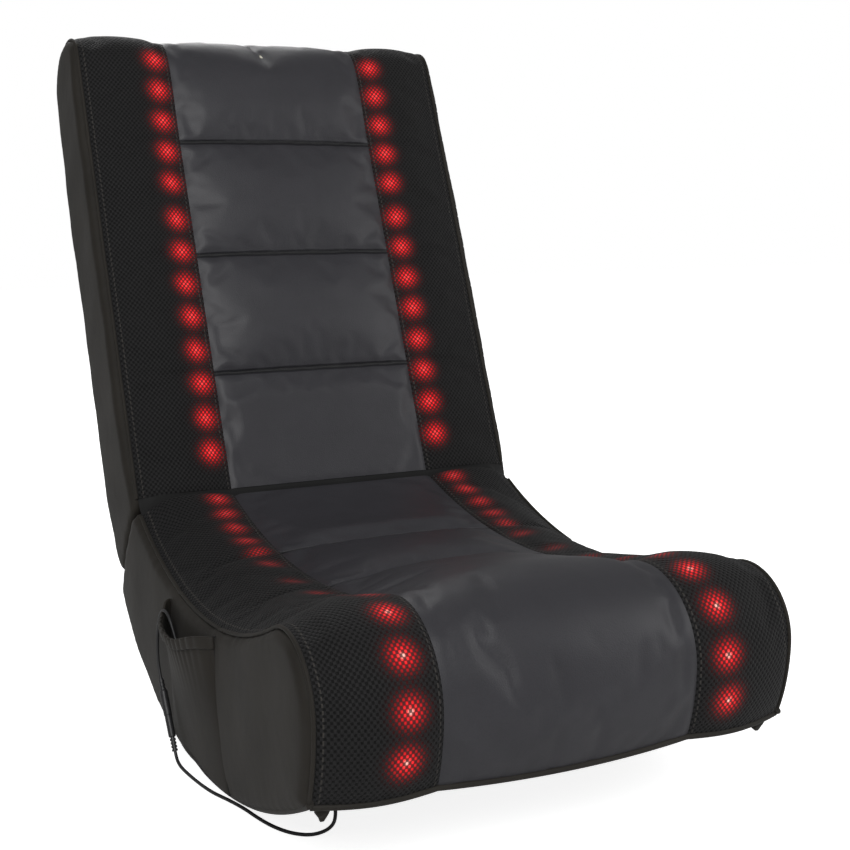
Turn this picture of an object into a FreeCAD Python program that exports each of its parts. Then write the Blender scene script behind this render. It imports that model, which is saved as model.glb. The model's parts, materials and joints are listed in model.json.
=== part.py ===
"""A folding floor rocker chair: a soft seat on a rocker base, and a soft back hinged behind it.

Frame: x across the chair (+x is the sitter's left), y from front to back, z up. The origin is
where the middle of the rocker touches the floor. Lengths are in millimetres, angles in degrees.
"""
import FreeCAD, Part
import math
import os
import re
import Sketcher

# Driving dimensions, kept in the document's sheet under these names
SIZES = {
    # whole chair
    "half_width": 215.0,        # centre plane to the outer face of a side panel
    "panel_thick": 11.0,        # padded side panel
    "panel_round": 6.0,         # rounding of a side panel's edge
    "strip_inner": 112.0,       # centre plane to the seam between centre cover and mesh
    "cover_pad": 5.0,           # quilted centre cover, from its face to the foam
    "mesh_thick": 2.6,          # spacer mesh
    "mesh_room": 3.0,           # from the mesh to the foam, where the light strips lie
    "section_radius": 900.0,    # crown of a quilted section
    "seam_depth": 4.0,          # how deep a sewn channel is pulled in
    "seam_half": 4.0,           # half its width
    "board": 12.0,              # plywood of ribs, stiles and rails
    "beam": 50.0,               # thickness of the front rail
    "thin_board": 9.0,          # plywood of the back's frame
    "skin": 4.0,                # bent hardboard
    "lap_play": 0.2,            # play in a halving joint
    "hole_radius": 20.0,        # lightening holes in the ribs

    # seat: a hollow arc, a roll over the front and the front's lower arc
    "seat_mid": -31.0,          # y of the seat arc's centre
    "seat_low": 175.0,          # lowest height of the seat's face at the centre cover
    "seat_radius": 678.0,
    "roll_y": -253.0,           # y of the front roll's centre
    "roll_radius": 70.0,
    "front_radius": 170.0,
    "side_low": 147.0,          # the same arc at the outer seam, which lies lower
    "side_radius": 471.0,
    "side_roll_y": -261.0,
    "side_roll_radius": 55.0,
    "front_low": 88.0,          # height of the front's lower edge
    "front_back": -309.0,       # y where the underside starts
    "seam_one": -98.0,          # y of the first sewn channel from the front
    "seam_two": 27.0,           # y of the second

    # rocker underside
    "rocker_front": 620.0,      # radius in front of the floor line
    "rocker_rear": 380.0,       # radius behind it
    "foot_rear": 34.0,          # rear end of the flat that the chair stands on
    "base_cloth": 2.0,          # underside cloth
    "seat_foam": 76.0,          # foam over the deck, under the cover
    "nose_foam": 120.0,          # foam in front of the frame, behind the cover
    "rail_front": -188.0,       # front faces of the two halved rails
    "rail_gap": 6.0,            # from the foot's rear end to the middle rail

    # parting plane between seat and back, and the hinge on it
    "hinge_y": 173.0,
    "hinge_z": 203.0,
    "parting_angle": 55.6,      # below the horizontal, towards the rear
    "back_lean": 23.7,          # back's face from the vertical
    "leaf_thick": 2.0,          # hinge leaf
    "leaf_play": 0.2,           # leaf to the parting plane
    "leaf_long": 62.0,          # from the pin down the parting plane
    "leaf_wide": 56.0,          # along the pin
    "leaf_in": 55.0,            # from a side panel's face to the middle of a hinge
    "pin_radius": 2.5,
    "pin_play": 0.06,
    "pin_head": 1.2,            # riveted ends of a pin
    "knuckle_radius": 4.6,
    "knuckle_gap": 0.4,         # between neighbouring knuckles
    "screw_radius": 2.0,
    "screw_long": 10.0,
    "screw_head": 3.6,
    "screw_sink": 1.4,          # how far a countersunk head sits in its leaf
    "screw_play": 0.1,          # screw in its leaf
    "rail_start": 17.0,         # from the pin to the upper edge of the hinge rails
    "heel_rail_end": 92.0,      # and to the lower edge of the back's

    # back
    "back_depth": 116.0,
    "back_top": 537.0,          # from the hinge to the top, along the face
    "top_crown": 31.0,          # rise of the round top over the back's depth
    "side_back": 8.0,           # outer seam behind the inner seam
    "heel_radius": 42.0,        # round lower rear edge
    "heel_in": 30.0,            # how far that rounding reaches in from the rear
    "heel_high": 22.0,          # its upper end below the hinge
    "back_foam": 12.0,
    "webbing": 2.0,
    "webbing_wide": 50.0,
    "webbing_pitch": 92.0,
    "webbing_first": 70.0,      # middle of the lowest strap
    "rear_cloth": 2.0,
    "crease_gap": 5.0,          # cover's edge to the parting plane
    "row_one": 131.0,           # sewn channels, along the face from the hinge
    "row_two": 264.0,
    "row_three": 396.0,
    "frame_top": 488.0,
    "rail_high": 62.0,
    "rail_place": 205.0,        # lower edge of the middle rail
    "stile_hole": 27.0,         # lightening holes in the stiles
    "stile_holes": 84.0,        # from one to the next
    "stile_hole_low": 120.0,    # middle of the lowest

    # light strips under the mesh
    "strip_in": 17.0,           # from the mesh's inner seam to the middle of a strip
    "strip_wide": 10.0,
    "strip_thick": 1.2,
    "strip_sunk": 3.6,          # strip's face under the mesh's outer face
    "lamp_size": 5.0,
    "lamp_high": 0.3,
    "lamp_pitch": 37.0,
    "lamp_first": 42.0,

    # side pocket on the sitter's right
    "pocket_rear": 38.0,
    "pocket_front": -97.0,
    "pocket_toe": -131.0,
    "pocket_top": 116.0,
    "pocket_floor": 18.0,
    "pocket_out": 22.0,
    "pocket_foot": 6.0,
    "pocket_wall": 2.0,
    "hem_high": 10.0,
    "hem_thick": 4.0,

    # corner tucks, where the cloths are gathered under the front
    "tuck_y": -299.0,
    "tuck_long": 15.0,
    "tuck_wide": 14.0,
    "tuck_radius": 8.5,

    # lead, its grommet, connector and plug
    "lead_radius": 1.5,
    "grommet_x": -150.0,
    "grommet_y": -200.0,
    "grommet_radius": 7.0,
    "grommet_flange": 1.6,
    "grommet_nose": 3.2,
    "grommet_high": 5.0,
    "grommet_stem": 3.6,
    "grommet_hole": 5.8,
    "socket_radius": 3.7,
    "socket_long": 24.0,
    "plug_radius": 3.3,
    "plug_long": 20.0,
    "relief_radius": 2.7,
    "relief_low_long": 13.0,
    "relief_high_long": 11.0,
    "rib_deep": 0.7,            # grooves of a strain relief
    "tab_wide": 15.0,           # the plug in the pocket
    "tab_thick": 7.0,
    "tab_long": 26.0,
    "shell_wide": 12.0,
    "shell_thick": 4.5,
    "shell_long": 12.0,
}

doc = FreeCAD.newDocument("rocker_chair")
sheet = doc.addObject("Spreadsheet::Sheet", "sizes")
for row, (alias, size) in enumerate(SIZES.items(), start=1):
    sheet.set(f"A{row}", alias)
    sheet.set(f"B{row}", str(size))
    sheet.setAlias(f"B{row}", alias)
doc.recompute()

NAME = re.compile(r"[a-z][a-z_]*")
BEHIND, AHEAD, BOTH = -1, 1, 0
pieces = []


# Expressions and their values
def cells(text):
    """Write an expression with every size's name as its cell of the sheet."""
    return NAME.sub(lambda word: "sizes." + word[0] if word[0] in SIZES else word[0], str(text))


def value(text):
    """Work out an expression of sizes."""
    return float(sheet.evalExpression(cells(text)))


def bind(thing, name, text):
    """Drive a property of a feature by an expression of sizes."""
    thing.setExpression(name, cells(text))


# Sketches
def sketch_on(body, role, lift="0", across="0", up="0"):
    """A sketch parallel to one of its body's origin planes."""
    sketch = body.newObject("Sketcher::SketchObject", body.Name + "_sketch")
    planes = {plane.Role: plane for plane in body.Origin.OriginFeatures}
    sketch.AttachmentSupport = (planes[role], [""])
    sketch.MapMode = "FlatFace"
    for axis, text in (("x", across), ("y", up), ("z", lift)):
        if text != "0":
            bind(sketch, "AttachmentOffset.Base." + axis, text)
    return sketch


def tie(sketch, kind, text, *where):
    """Add a dimension to a sketch and drive it by an expression."""
    index = sketch.addConstraint(Sketcher.Constraint(kind, *where, value(text)))
    sketch.setExpression(f"Constraints[{index}]", cells(text))


def arc_between(start, end, radius, turn):
    """The short arc from start to end, anticlockwise where turn is positive."""
    half = (end - start).Length / 2
    left = FreeCAD.Vector(start.y - end.y, end.x - start.x, 0).normalize()
    centre = (start + end) / 2 + left * turn * math.sqrt(radius ** 2 - half ** 2)
    angles = [math.atan2(place.y - centre.y, place.x - centre.x) for place in (start, end)]
    circle = Part.Circle(centre, FreeCAD.Vector(0, 0, 1), radius)
    return Part.ArcOfCircle(circle, *angles[::turn])


def outline(sketch, corners):
    """Close an outline. A corner is (across, up), with (radius, turn) of the arc that leaves it."""
    places = [FreeCAD.Vector(value(corner[0]), value(corner[1]), 0) for corner in corners]
    following = places[1:] + places[:1]
    ends = []
    for corner, start, end in zip(corners, places, following):
        turn = corner[3] if len(corner) > 2 else AHEAD
        if len(corner) > 2:
            edge = sketch.addGeometry(arc_between(start, end, value(corner[2]), turn))
            tie(sketch, "Radius", corner[2], edge)
        else:
            edge = sketch.addGeometry(Part.LineSegment(start, end))
        ends.append((edge, (1, 2)[::turn]))
    for corner, (edge, (head, tail)), (after, (meets, far)) in zip(corners, ends, ends[1:] + ends[:1]):
        tie(sketch, "DistanceX", corner[0], -1, 1, edge, head)
        tie(sketch, "DistanceY", corner[1], -1, 1, edge, head)
        sketch.addConstraint(Sketcher.Constraint("Coincident", edge, tail, after, meets))
    return sketch


def circle_in(sketch, across, up, radius):
    """Draw a round at a place."""
    place = FreeCAD.Vector(value(across), value(up), 0)
    edge = sketch.addGeometry(Part.Circle(place, FreeCAD.Vector(0, 0, 1), value(radius)))
    tie(sketch, "DistanceX", across, -1, 1, edge, 3)
    tie(sketch, "DistanceY", up, -1, 1, edge, 3)
    tie(sketch, "Radius", radius, edge)
    return sketch


def box_corners(low_across, low_up, high_across, high_up):
    """The four corners of an upright rectangle."""
    return [(low_across, low_up), (high_across, low_up), (high_across, high_up), (low_across, high_up)]


# Features
def new_body(name, place=None):
    """A sub-part of the chair; place puts it in the chair's frame."""
    body = doc.addObject("PartDesign::Body", name)
    body.Label = name
    if place:
        place(body)
    pieces.append(body)
    return body


def on_hinge(body):
    """The back's pieces are drawn upright with the hinge at their origin, and lean back from it."""
    body.Placement = FreeCAD.Placement(FreeCAD.Vector(), FreeCAD.Rotation(FreeCAD.Vector(-1, 0, 0), 1))
    bind(body, "Placement.Rotation.Angle", "back_lean")
    bind(body, "Placement.Base.y", "hinge_y")
    bind(body, "Placement.Base.z", "hinge_z")


def pad(body, sketch, length, way=AHEAD):
    """Raise a sketch to a length: ahead, behind or to both sides of its plane."""
    feature = body.newObject("PartDesign::Pad", body.Name + "_pad")
    feature.Profile = sketch
    bind(feature, "Length", length)
    feature.SideType = "Symmetric" if way == BOTH else "One side"
    feature.Reversed = way == BEHIND
    return feature


def cut_through(body, sketch):
    """Cut a sketch's outline through the whole sub-part, both ways."""
    doc.recompute()
    before = body.Shape.Volume
    feature = body.newObject("PartDesign::Pocket", body.Name + "_cut")
    feature.Profile = sketch
    feature.Type = "ThroughAll"
    feature.SideType = "Symmetric"
    doc.recompute()
    if not body.Shape.Volume < before:
        raise ValueError(body.Label + ": a cut removed nothing")
    return feature


def loft(body, first, second):
    """Skin two outlines of as many edges with straight lines."""
    feature = body.newObject("PartDesign::AdditiveLoft", body.Name + "_loft")
    feature.Profile = first
    feature.Sections = [second]
    feature.Ruled = True
    return feature


def dress(body, kind, size_name, size, wanted):
    """Fillet or chamfer the edges that a test picks."""
    doc.recompute()
    base = body.Tip
    names = [f"Edge{index}" for index, edge in enumerate(base.Shape.Edges, start=1) if wanted(edge)]
    feature = body.newObject("PartDesign::" + kind, body.Name + "_" + kind.lower())
    feature.Base = (base, names)
    bind(feature, size_name, size)
    return feature


# Seat and rocker curves, as expressions; inset is measured inwards from the outer face
CENTRE = {"low": "seat_low", "radius": "seat_radius", "mid": "seat_mid",
          "roll_y": "roll_y", "roll": "roll_radius"}
SIDE = {"low": "side_low", "radius": "side_radius", "mid": "seat_mid",
        "roll_y": "side_roll_y", "roll": "side_roll_radius"}


def seat_height(line, y, inset):
    """Height of the seat's arc at y."""
    return "({low} + {radius} - sqrt(({radius} + {inset})^2 - ({y} - {mid})^2))".format(
        **line, y=y, inset=inset)


def roll_height(line):
    """Height of the front roll's centre, so that the roll runs on smoothly from the seat's arc."""
    return "({low} + {radius} - sqrt(({radius} + {roll})^2 - ({roll_y} - {mid})^2))".format(**line)


def seat_front(line, inset):
    """The seat's face from the crease over the roll to the front's lower edge."""
    share = "(({radius} + {inset}) / ({radius} + {roll}))".format(**line, inset=inset)
    beyond = "(hinge_y + 12)"
    meet_y = "({mid} + ({roll_y} - {mid}) * ".format(**line) + share + ")"
    drop = "({low} + {radius} - ".format(**line) + roll_height(line) + ")"
    meet_z = "({low} + {radius} - ".format(**line) + drop + " * " + share + ")"
    face_y = "({roll_y} - {roll} + {inset})".format(**line, inset=inset)
    low_z = f"(front_low + {inset})"
    arc_y = "({roll_y} - {roll} + front_radius)".format(**line)
    low_y = f"({arc_y} - sqrt((front_radius - {inset})^2 - ({roll_height(line)} - {low_z})^2))"
    return [
        (beyond, seat_height(line, beyond, inset), "({radius} + {inset})".format(**line, inset=inset),
         BEHIND),
        (meet_y, meet_z, "({roll} - {inset})".format(**line, inset=inset), AHEAD),
        (face_y, roll_height(line), f"(front_radius - {inset})", AHEAD),
        (low_y, low_z),
    ]


def backwards(corners):
    """The same run of edges walked the other way."""
    places = [corner[:2] for corner in corners]
    arcs = [corner[2:] for corner in corners[:-1]]
    turned = [(arc[0], -arc[1]) if arc else () for arc in arcs]
    return [place + arc for place, arc in zip(places[::-1], turned[::-1] + [()])]


FOOT_RISE = "(rocker_rear - sqrt(rocker_rear^2 - foot_rear^2))"


def rocker_height(y, inset, radius):
    """Height of the rocker's arc at y."""
    return f"({radius} - sqrt(({radius} - {inset})^2 - ({y})^2) - {FOOT_RISE})"


def foot(inset, radius):
    """How far from the middle an arc reaches the flat that the chair stands on."""
    return f"sqrt(({radius} - {inset})^2 - ({radius} - {inset} - {FOOT_RISE})^2)"


def rocker_run(front_y, inset):
    """The underside from the front to beyond the parting plane."""
    rear_y = "(hinge_y + 87)"
    return [
        (front_y, rocker_height(front_y, inset, "rocker_front"), f"(rocker_front - {inset})", AHEAD),
        (f"(0 - {foot(inset, 'rocker_front')})", str(inset)),
        (foot(inset, "rocker_rear"), str(inset), f"(rocker_rear - {inset})", AHEAD),
        (rear_y, rocker_height(rear_y, inset, "rocker_rear")),
    ]


def parting(along, offset):
    """A place on a line parallel to the parting plane, offset towards the base."""
    return (f"(hinge_y + cos(parting_angle) * ({along}) - sin(parting_angle) * ({offset}))",
            f"(hinge_z - sin(parting_angle) * ({along}) - cos(parting_angle) * ({offset}))")


def trim_base(body, offset):
    """Cut a seat piece off along the parting plane."""
    sketch = sketch_on(body, "YZ_Plane")
    ends = [parting("-70", offset), parting("230", offset)]
    far = [parting("230", f"{offset} - 230"), parting("-70", f"{offset} - 230")]
    cut_through(body, outline(sketch, ends + far))


# Back curves in its upright frame: across is depth behind the face, up is along the face
def back_parting(along, offset):
    """A place on a line parallel to the parting plane, offset towards the back."""
    turn = "(parting_angle - back_lean)"
    return (f"(cos{turn} * ({along}) + sin{turn} * ({offset}))",
            f"(0 - sin{turn} * ({along}) + cos{turn} * ({offset}))")


def trim_back(body, offset):
    """Cut a back piece off along the parting plane."""
    sketch = sketch_on(body, "YZ_Plane")
    ends = [back_parting("-70", offset), back_parting("230", offset)]
    far = [back_parting("230", f"{offset} - 230"), back_parting("-70", f"{offset} - 230")]
    cut_through(body, outline(sketch, ends + far))


TOP_RADIUS = "((back_depth^2 / 4 + top_crown^2) / (2 * top_crown))"
TOP_MIDDLE = f"(back_top - {TOP_RADIUS})"


def shoulder(depth, inset):
    """Height at which the round top, drawn in by inset, meets a face at a depth."""
    return f"({TOP_MIDDLE} + sqrt(({TOP_RADIUS} - {inset})^2 - (back_depth / 2 - {depth})^2))"


def below_parting(depth):
    """A height just past the parting plane at a depth."""
    return f"(0 - tan(parting_angle - back_lean) * {depth} - 10)"


def heel(inset):
    """The rear face's lower end and the rounding under it, clockwise."""
    low = f"(back_depth - heel_in - {inset} / 2)"
    reach = f"sqrt((heel_radius - {inset})^2 - ({low} - back_depth + heel_radius)^2)"
    return [
        (f"(back_depth - {inset})", "(0 - heel_high)", f"(heel_radius - {inset})", BEHIND),
        (low, f"(0 - heel_high - {reach})"),
    ]


# The seat's frame: three ribs halved over two rails, a rear rail, a deck and a bent underside
DECK = "(cover_pad + seat_foam)"
HEEL_FACE = "(leaf_play + leaf_thick + thin_board)"
RIB_TOP = f"({DECK} + skin)"
RIB_LOW = "(base_cloth + skin)"
RIB_FRONT = "(roll_y - roll_radius + cover_pad + nose_foam)"
FRAME_HALF = "(half_width - panel_thick)"
LEAF_FACE = "(leaf_play + leaf_thick)"
RAIL_FACE = f"({LEAF_FACE} + board)"
BEYOND = "(hinge_y + 60)"
RIB_PLACES = {"left": f"({FRAME_HALF} - board)", "middle": "(0 - board / 2)", "right": f"(0 - {FRAME_HALF})"}
RAIL_PLACES = {"front": "rail_front", "middle": "(foot_rear + rail_gap)"}
RAIL_THICK = {"front": "beam", "middle": "board"}


def rail_middle_height(rail):
    """Height of the halving joints of a rail: half way between underside and deck."""
    low = rocker_height(RAIL_PLACES[rail], RIB_LOW, "rocker_front" if rail == "front" else "rocker_rear")
    return f"(({low} + {seat_height(CENTRE, RAIL_PLACES[rail], RIB_TOP)}) / 2)"


def seat_rib(name):
    """A plywood rib, its lower edge on the rocker's curve, notched for the two rails."""
    body = new_body(f"seat_rib_{name}")
    sketch = sketch_on(body, "YZ_Plane", lift=RIB_PLACES[name])
    run = rocker_run(RIB_FRONT, RIB_LOW)
    top = [
        (BEYOND, seat_height(CENTRE, BEYOND, RIB_TOP), f"(seat_radius + {RIB_TOP})", BEHIND),
        (RIB_FRONT, seat_height(CENTRE, RIB_FRONT, RIB_TOP)),
    ]
    pad(body, outline(sketch, run + top), "board")
    trim_base(body, RAIL_FACE)
    for rail, place in RAIL_PLACES.items():
        slot = sketch_on(body, "YZ_Plane")
        near, far = f"({place} - lap_play)", f"({place} + {RAIL_THICK[rail]} + lap_play)"
        cut_through(body, outline(slot, box_corners(near, rail_middle_height(rail), far, "400")))
    holes = sketch_on(body, "YZ_Plane")
    for share in ("0.28", "0.72"):
        across = f"(rail_front + beam + (foot_rear + rail_gap - rail_front - beam) * {share})"
        middle = rail_middle_height("middle")
        circle_in(holes, across, f"({middle} + 4)", "hole_radius")
    cut_through(body, holes)


def seat_rail(name):
    """A cross rail between underside and deck, notched from below for the ribs."""
    body = new_body(f"seat_rail_{name}")
    near, far = RAIL_PLACES[name], f"({RAIL_PLACES[name]} + {RAIL_THICK[name]})"
    radius = "rocker_front" if name == "front" else "rocker_rear"
    sketch = outline(sketch_on(body, "YZ_Plane"), [
        (near, rocker_height(near, RIB_LOW, radius), f"({radius} - {RIB_LOW})", AHEAD),
        (far, rocker_height(far, RIB_LOW, radius)),
        (far, seat_height(CENTRE, far, RIB_TOP), f"(seat_radius + {RIB_TOP})", BEHIND),
        (near, seat_height(CENTRE, near, RIB_TOP)),
    ])
    pad(body, sketch, f"2 * {FRAME_HALF}", BOTH)
    for place in RIB_PLACES.values():
        notch = sketch_on(body, "XZ_Plane")
        low, high = f"({place} - lap_play)", f"({place} + board + lap_play)"
        cut_through(body, outline(notch, box_corners(low, "0 - 50", high, rail_middle_height(name))))


def rear_rail():
    """The rail along the parting plane that carries the hinges."""
    body = new_body("seat_rail_rear")
    corners = [parting("rail_start", LEAF_FACE), parting("rail_start", RAIL_FACE),
               parting("150", RAIL_FACE), parting("150", LEAF_FACE)]
    pad(body, outline(sketch_on(body, "YZ_Plane"), corners[::-1]), f"2 * {FRAME_HALF}", BOTH)
    below = rocker_run("(0 - 90)", RIB_LOW) + [("(hinge_y + 87)", "0 - 60"), ("(0 - 90)", "0 - 60")]
    cut_through(body, outline(sketch_on(body, "YZ_Plane"), below))


def seat_deck():
    """A hardboard deck bent over the ribs."""
    body = new_body("seat_deck")
    sketch = outline(sketch_on(body, "YZ_Plane"), [
        (RIB_FRONT, seat_height(CENTRE, RIB_FRONT, RIB_TOP), f"(seat_radius + {RIB_TOP})", AHEAD),
        (BEYOND, seat_height(CENTRE, BEYOND, RIB_TOP)),
        (BEYOND, seat_height(CENTRE, BEYOND, DECK), f"(seat_radius + {DECK})", BEHIND),
        (RIB_FRONT, seat_height(CENTRE, RIB_FRONT, DECK)),
    ])
    pad(body, sketch, f"2 * {FRAME_HALF}", BOTH)
    trim_base(body, RAIL_FACE)


def underside_layer(name, outer, inner, start):
    """A layer that follows the rocker's curve from its start at the front."""
    body = new_body(name)
    corners = rocker_run(start, outer) + backwards(rocker_run(start, inner))
    pad(body, outline(sketch_on(body, "YZ_Plane"), corners), f"2 * {FRAME_HALF}", BOTH)
    trim_base(body, LEAF_FACE)
    return body


WING = "(mesh_thick + mesh_room)"


def foam_outline(sketch, line, inset):
    """Foam from the seat's face down to deck, frame front and underside."""
    toe = "(front_back + cover_pad)"
    start = seat_front(line, inset)
    under = [
        (toe, rocker_height(toe, RIB_LOW, "rocker_front"), f"(rocker_front - {RIB_LOW})", AHEAD),
        (RIB_FRONT, rocker_height(RIB_FRONT, RIB_LOW, "rocker_front")),
        (RIB_FRONT, seat_height(CENTRE, RIB_FRONT, DECK), f"(seat_radius + {DECK})", AHEAD),
        (BEYOND, seat_height(CENTRE, BEYOND, DECK)),
    ]
    return outline(sketch, start + under)


def seat_foams():
    """The centre block and the two wings that slope to the outer seams."""
    body = new_body("seat_foam_middle")
    pad(body, foam_outline(sketch_on(body, "YZ_Plane"), CENTRE, "cover_pad"), "2 * strip_inner", BOTH)
    trim_base(body, RAIL_FACE)
    for side, sign in (("left", ""), ("right", "0 - ")):
        body = new_body(f"seat_foam_{side}")
        inner = foam_outline(sketch_on(body, "YZ_Plane", lift=f"{sign}strip_inner"), CENTRE, WING)
        outer = foam_outline(sketch_on(body, "YZ_Plane", lift=f"{sign}{FRAME_HALF}"), SIDE,
                             WING)
        loft(body, inner, outer)
        trim_base(body, RAIL_FACE)


def seam_notch(middle, height, direction):
    """A sewn channel pulled into a run of sections; direction is the way the run is walked."""
    before, after = f"({middle} - {direction} * seam_half)", f"({middle} + {direction} * seam_half)"
    return [(before, height(before)), (middle, f"({height(middle)} - seam_depth)"),
            (after, height(after), "section_radius", AHEAD)]


def seat_cover():
    """The quilted centre cover of seat and front."""
    body = new_body("seat_cover")

    def height(y):
        return seat_height(CENTRE, y, "0")

    face, inner = seat_front(CENTRE, "0"), seat_front(CENTRE, "cover_pad")
    crease = [(face[0][0], face[0][1], "seat_radius", BEHIND)]
    seams = seam_notch("seam_two", height, -1) + seam_notch("seam_one", height, -1)
    outer = crease + seams + face[1:]
    pad(body, outline(sketch_on(body, "YZ_Plane"), outer + backwards(inner)), "2 * strip_inner", BOTH)
    trim_base(body, "crease_gap")


def seat_meshes():
    """Spacer mesh strips from the centre cover down to the outer seams."""
    for side, sign in (("left", ""), ("right", "0 - ")):
        body = new_body(f"seat_mesh_{side}")
        sketches = []
        for line, lift in ((CENTRE, "strip_inner"), (SIDE, FRAME_HALF)):
            corners = seat_front(line, "0") + backwards(seat_front(line, "mesh_thick"))
            sketches.append(outline(sketch_on(body, "YZ_Plane", lift=sign + lift), corners))
        loft(body, *sketches)
        trim_base(body, "crease_gap")


def bevelled(body, side, draw):
    """A padded panel: its outline drawn at four depths, drawn in towards the outer face."""
    sign = "" if side == "left" else "0 - "
    depths = ((FRAME_HALF, "0"), (f"({FRAME_HALF} + panel_thick - panel_round)", "0"),
              ("(half_width - panel_round * 0.29)", "(panel_round * 0.29)"), ("half_width", "panel_round"))
    sketches = [draw(sketch_on(body, "YZ_Plane", lift=sign + lift), inset) for lift, inset in depths]
    feature = loft(body, *sketches[:2])
    feature.Sections = sketches[1:]


def seat_panels():
    """Padded side panels of the seat."""
    def draw(sketch, inset):
        return outline(sketch, seat_front(SIDE, inset) + rocker_run(f"(front_back + {inset})", inset))

    for side in ("left", "right"):
        body = new_body(f"seat_panel_{side}")
        bevelled(body, side, draw)
        trim_base(body, LEAF_FACE)


# The back: drawn upright with the hinge at its origin
STILE_FRONT = "(cover_pad + back_foam + webbing)"
STILE_REAR = "(back_depth - rear_cloth)"
TOP_INSET = "(cover_pad + back_foam)"
TOP_REACH = f"sqrt(({TOP_RADIUS} - {TOP_INSET})^2 - (frame_top - {TOP_MIDDLE})^2)"
TOP_REAR = f"(back_depth / 2 + {TOP_REACH})"


def back_outline(sketch, face, inset):
    """The back's side outline: face, round top, rear and heel, clockwise."""
    depth = f"({face} + {inset})"
    rear = f"(back_depth - {inset})"
    return outline(sketch, [
        (depth, below_parting(depth)),
        (depth, shoulder(depth, inset), f"({TOP_RADIUS} - {inset})", BEHIND),
        (rear, shoulder(rear, inset)),
    ] + heel(inset))


def back_stiles():
    """Plywood stiles with a round top and lightening holes, and the rails between them."""
    for side, place in (("left", f"({FRAME_HALF} - thin_board)"), ("right", f"(0 - {FRAME_HALF})")):
        body = new_body(f"back_stile_{side}", on_hinge)
        low = "(back_depth - heel_in - 8)"
        corners = [
            (STILE_FRONT, below_parting(STILE_FRONT)),
            (STILE_FRONT, shoulder(STILE_FRONT, TOP_INSET), f"({TOP_RADIUS} - {TOP_INSET})", BEHIND),
            (TOP_REAR, "frame_top"), (STILE_REAR, "frame_top"), (STILE_REAR, "(0 - heel_high + 7)"),
            (low, below_parting(low)),
        ]
        pad(body, outline(sketch_on(body, "YZ_Plane", lift=place), corners), "thin_board")
        trim_back(body, HEEL_FACE)
        holes = sketch_on(body, "YZ_Plane")
        middle = f"(({STILE_FRONT} + {STILE_REAR}) / 2)"
        for index in range(5):
            circle_in(holes, middle, f"(stile_hole_low + stile_holes * {index})", "stile_hole")
        cut_through(body, holes)
    for name, low in (("top", "(frame_top - rail_high)"), ("middle", "rail_place")):
        body = new_body(f"back_rail_{name}", on_hinge)
        corners = box_corners(STILE_FRONT, low, f"({STILE_FRONT} + thin_board)", f"({low} + rail_high)")
        pad(body, outline(sketch_on(body, "YZ_Plane"), corners), f"2 * ({FRAME_HALF} - thin_board)", BOTH)


def heel_rail():
    """The rail along the parting plane that carries the back's hinge leaves."""
    body = new_body("back_rail_heel", on_hinge)
    corners = [back_parting("rail_start", LEAF_FACE), back_parting("rail_start", HEEL_FACE),
               back_parting("heel_rail_end", HEEL_FACE), back_parting("heel_rail_end", LEAF_FACE)]
    pad(body, outline(sketch_on(body, "YZ_Plane"), corners), f"2 * {FRAME_HALF}", BOTH)
    return body


def back_webbing():
    """Straps stapled across the front of the stiles, behind the foam."""
    body = new_body("back_webbing", on_hinge)
    front = "(cover_pad + back_foam)"
    low = "(webbing_first - webbing_wide / 2)"
    corners = box_corners(front, low, STILE_FRONT, f"({low} + webbing_wide)")
    strap = pad(body, outline(sketch_on(body, "YZ_Plane"), corners), f"2 * {FRAME_HALF}", BOTH)
    doc.recompute()
    pattern = body.newObject("PartDesign::LinearPattern", "back_webbing_pattern")
    pattern.Originals = [strap]
    pattern.Direction = (body.Origin.OriginFeatures[2], [""])
    pattern.Occurrences = 5
    pattern.Mode = "Spacing"
    bind(pattern, "Offset", "webbing_pitch")
    body.Tip = pattern


def back_rear_cloth():
    """The cloth stapled over the frame's rear and round its heel."""
    rear = "(back_depth - rear_cloth)"
    body = new_body("back_rear_cloth", on_hinge)
    outer, inner = heel("0"), heel("rear_cloth")
    corners = [("back_depth", shoulder("back_depth", "0"))] + outer + [
        (inner[1][0], inner[1][1], "(heel_radius - rear_cloth)", AHEAD), inner[0][:2],
        (rear, f"({shoulder('back_depth', '0')} - rear_cloth)")]
    pad(body, outline(sketch_on(body, "YZ_Plane"), corners), f"2 * {FRAME_HALF}", BOTH)
    trim_back(body, LEAF_FACE)


def cover_end(inset):
    """Where the cover ends at the rear of the round top, on a radius of that round."""
    share = f"(({TOP_RADIUS} - {inset}) / {TOP_RADIUS})"
    high = f"({shoulder('back_depth', '0')} - {TOP_MIDDLE})"
    return (f"(back_depth / 2 + back_depth / 2 * {share})", f"({TOP_MIDDLE} + {high} * {share})")


def back_foam_outline(sketch, face, inset):
    """A sheet of foam from the crease up the face and over the frame's round top."""
    depth, behind = f"({face} + {inset})", TOP_INSET
    rear = "(back_depth - rear_cloth)"
    return outline(sketch, [
        (depth, below_parting(depth)),
        (depth, shoulder(depth, inset), f"({TOP_RADIUS} - {inset})", BEHIND),
        cover_end(inset), (rear, "(frame_top + 8)"), (rear, "frame_top"),
        (TOP_REAR, "frame_top", f"({TOP_RADIUS} - {TOP_INSET})", AHEAD),
        (behind, shoulder(behind, TOP_INSET)), (behind, below_parting(behind)),
    ])


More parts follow.
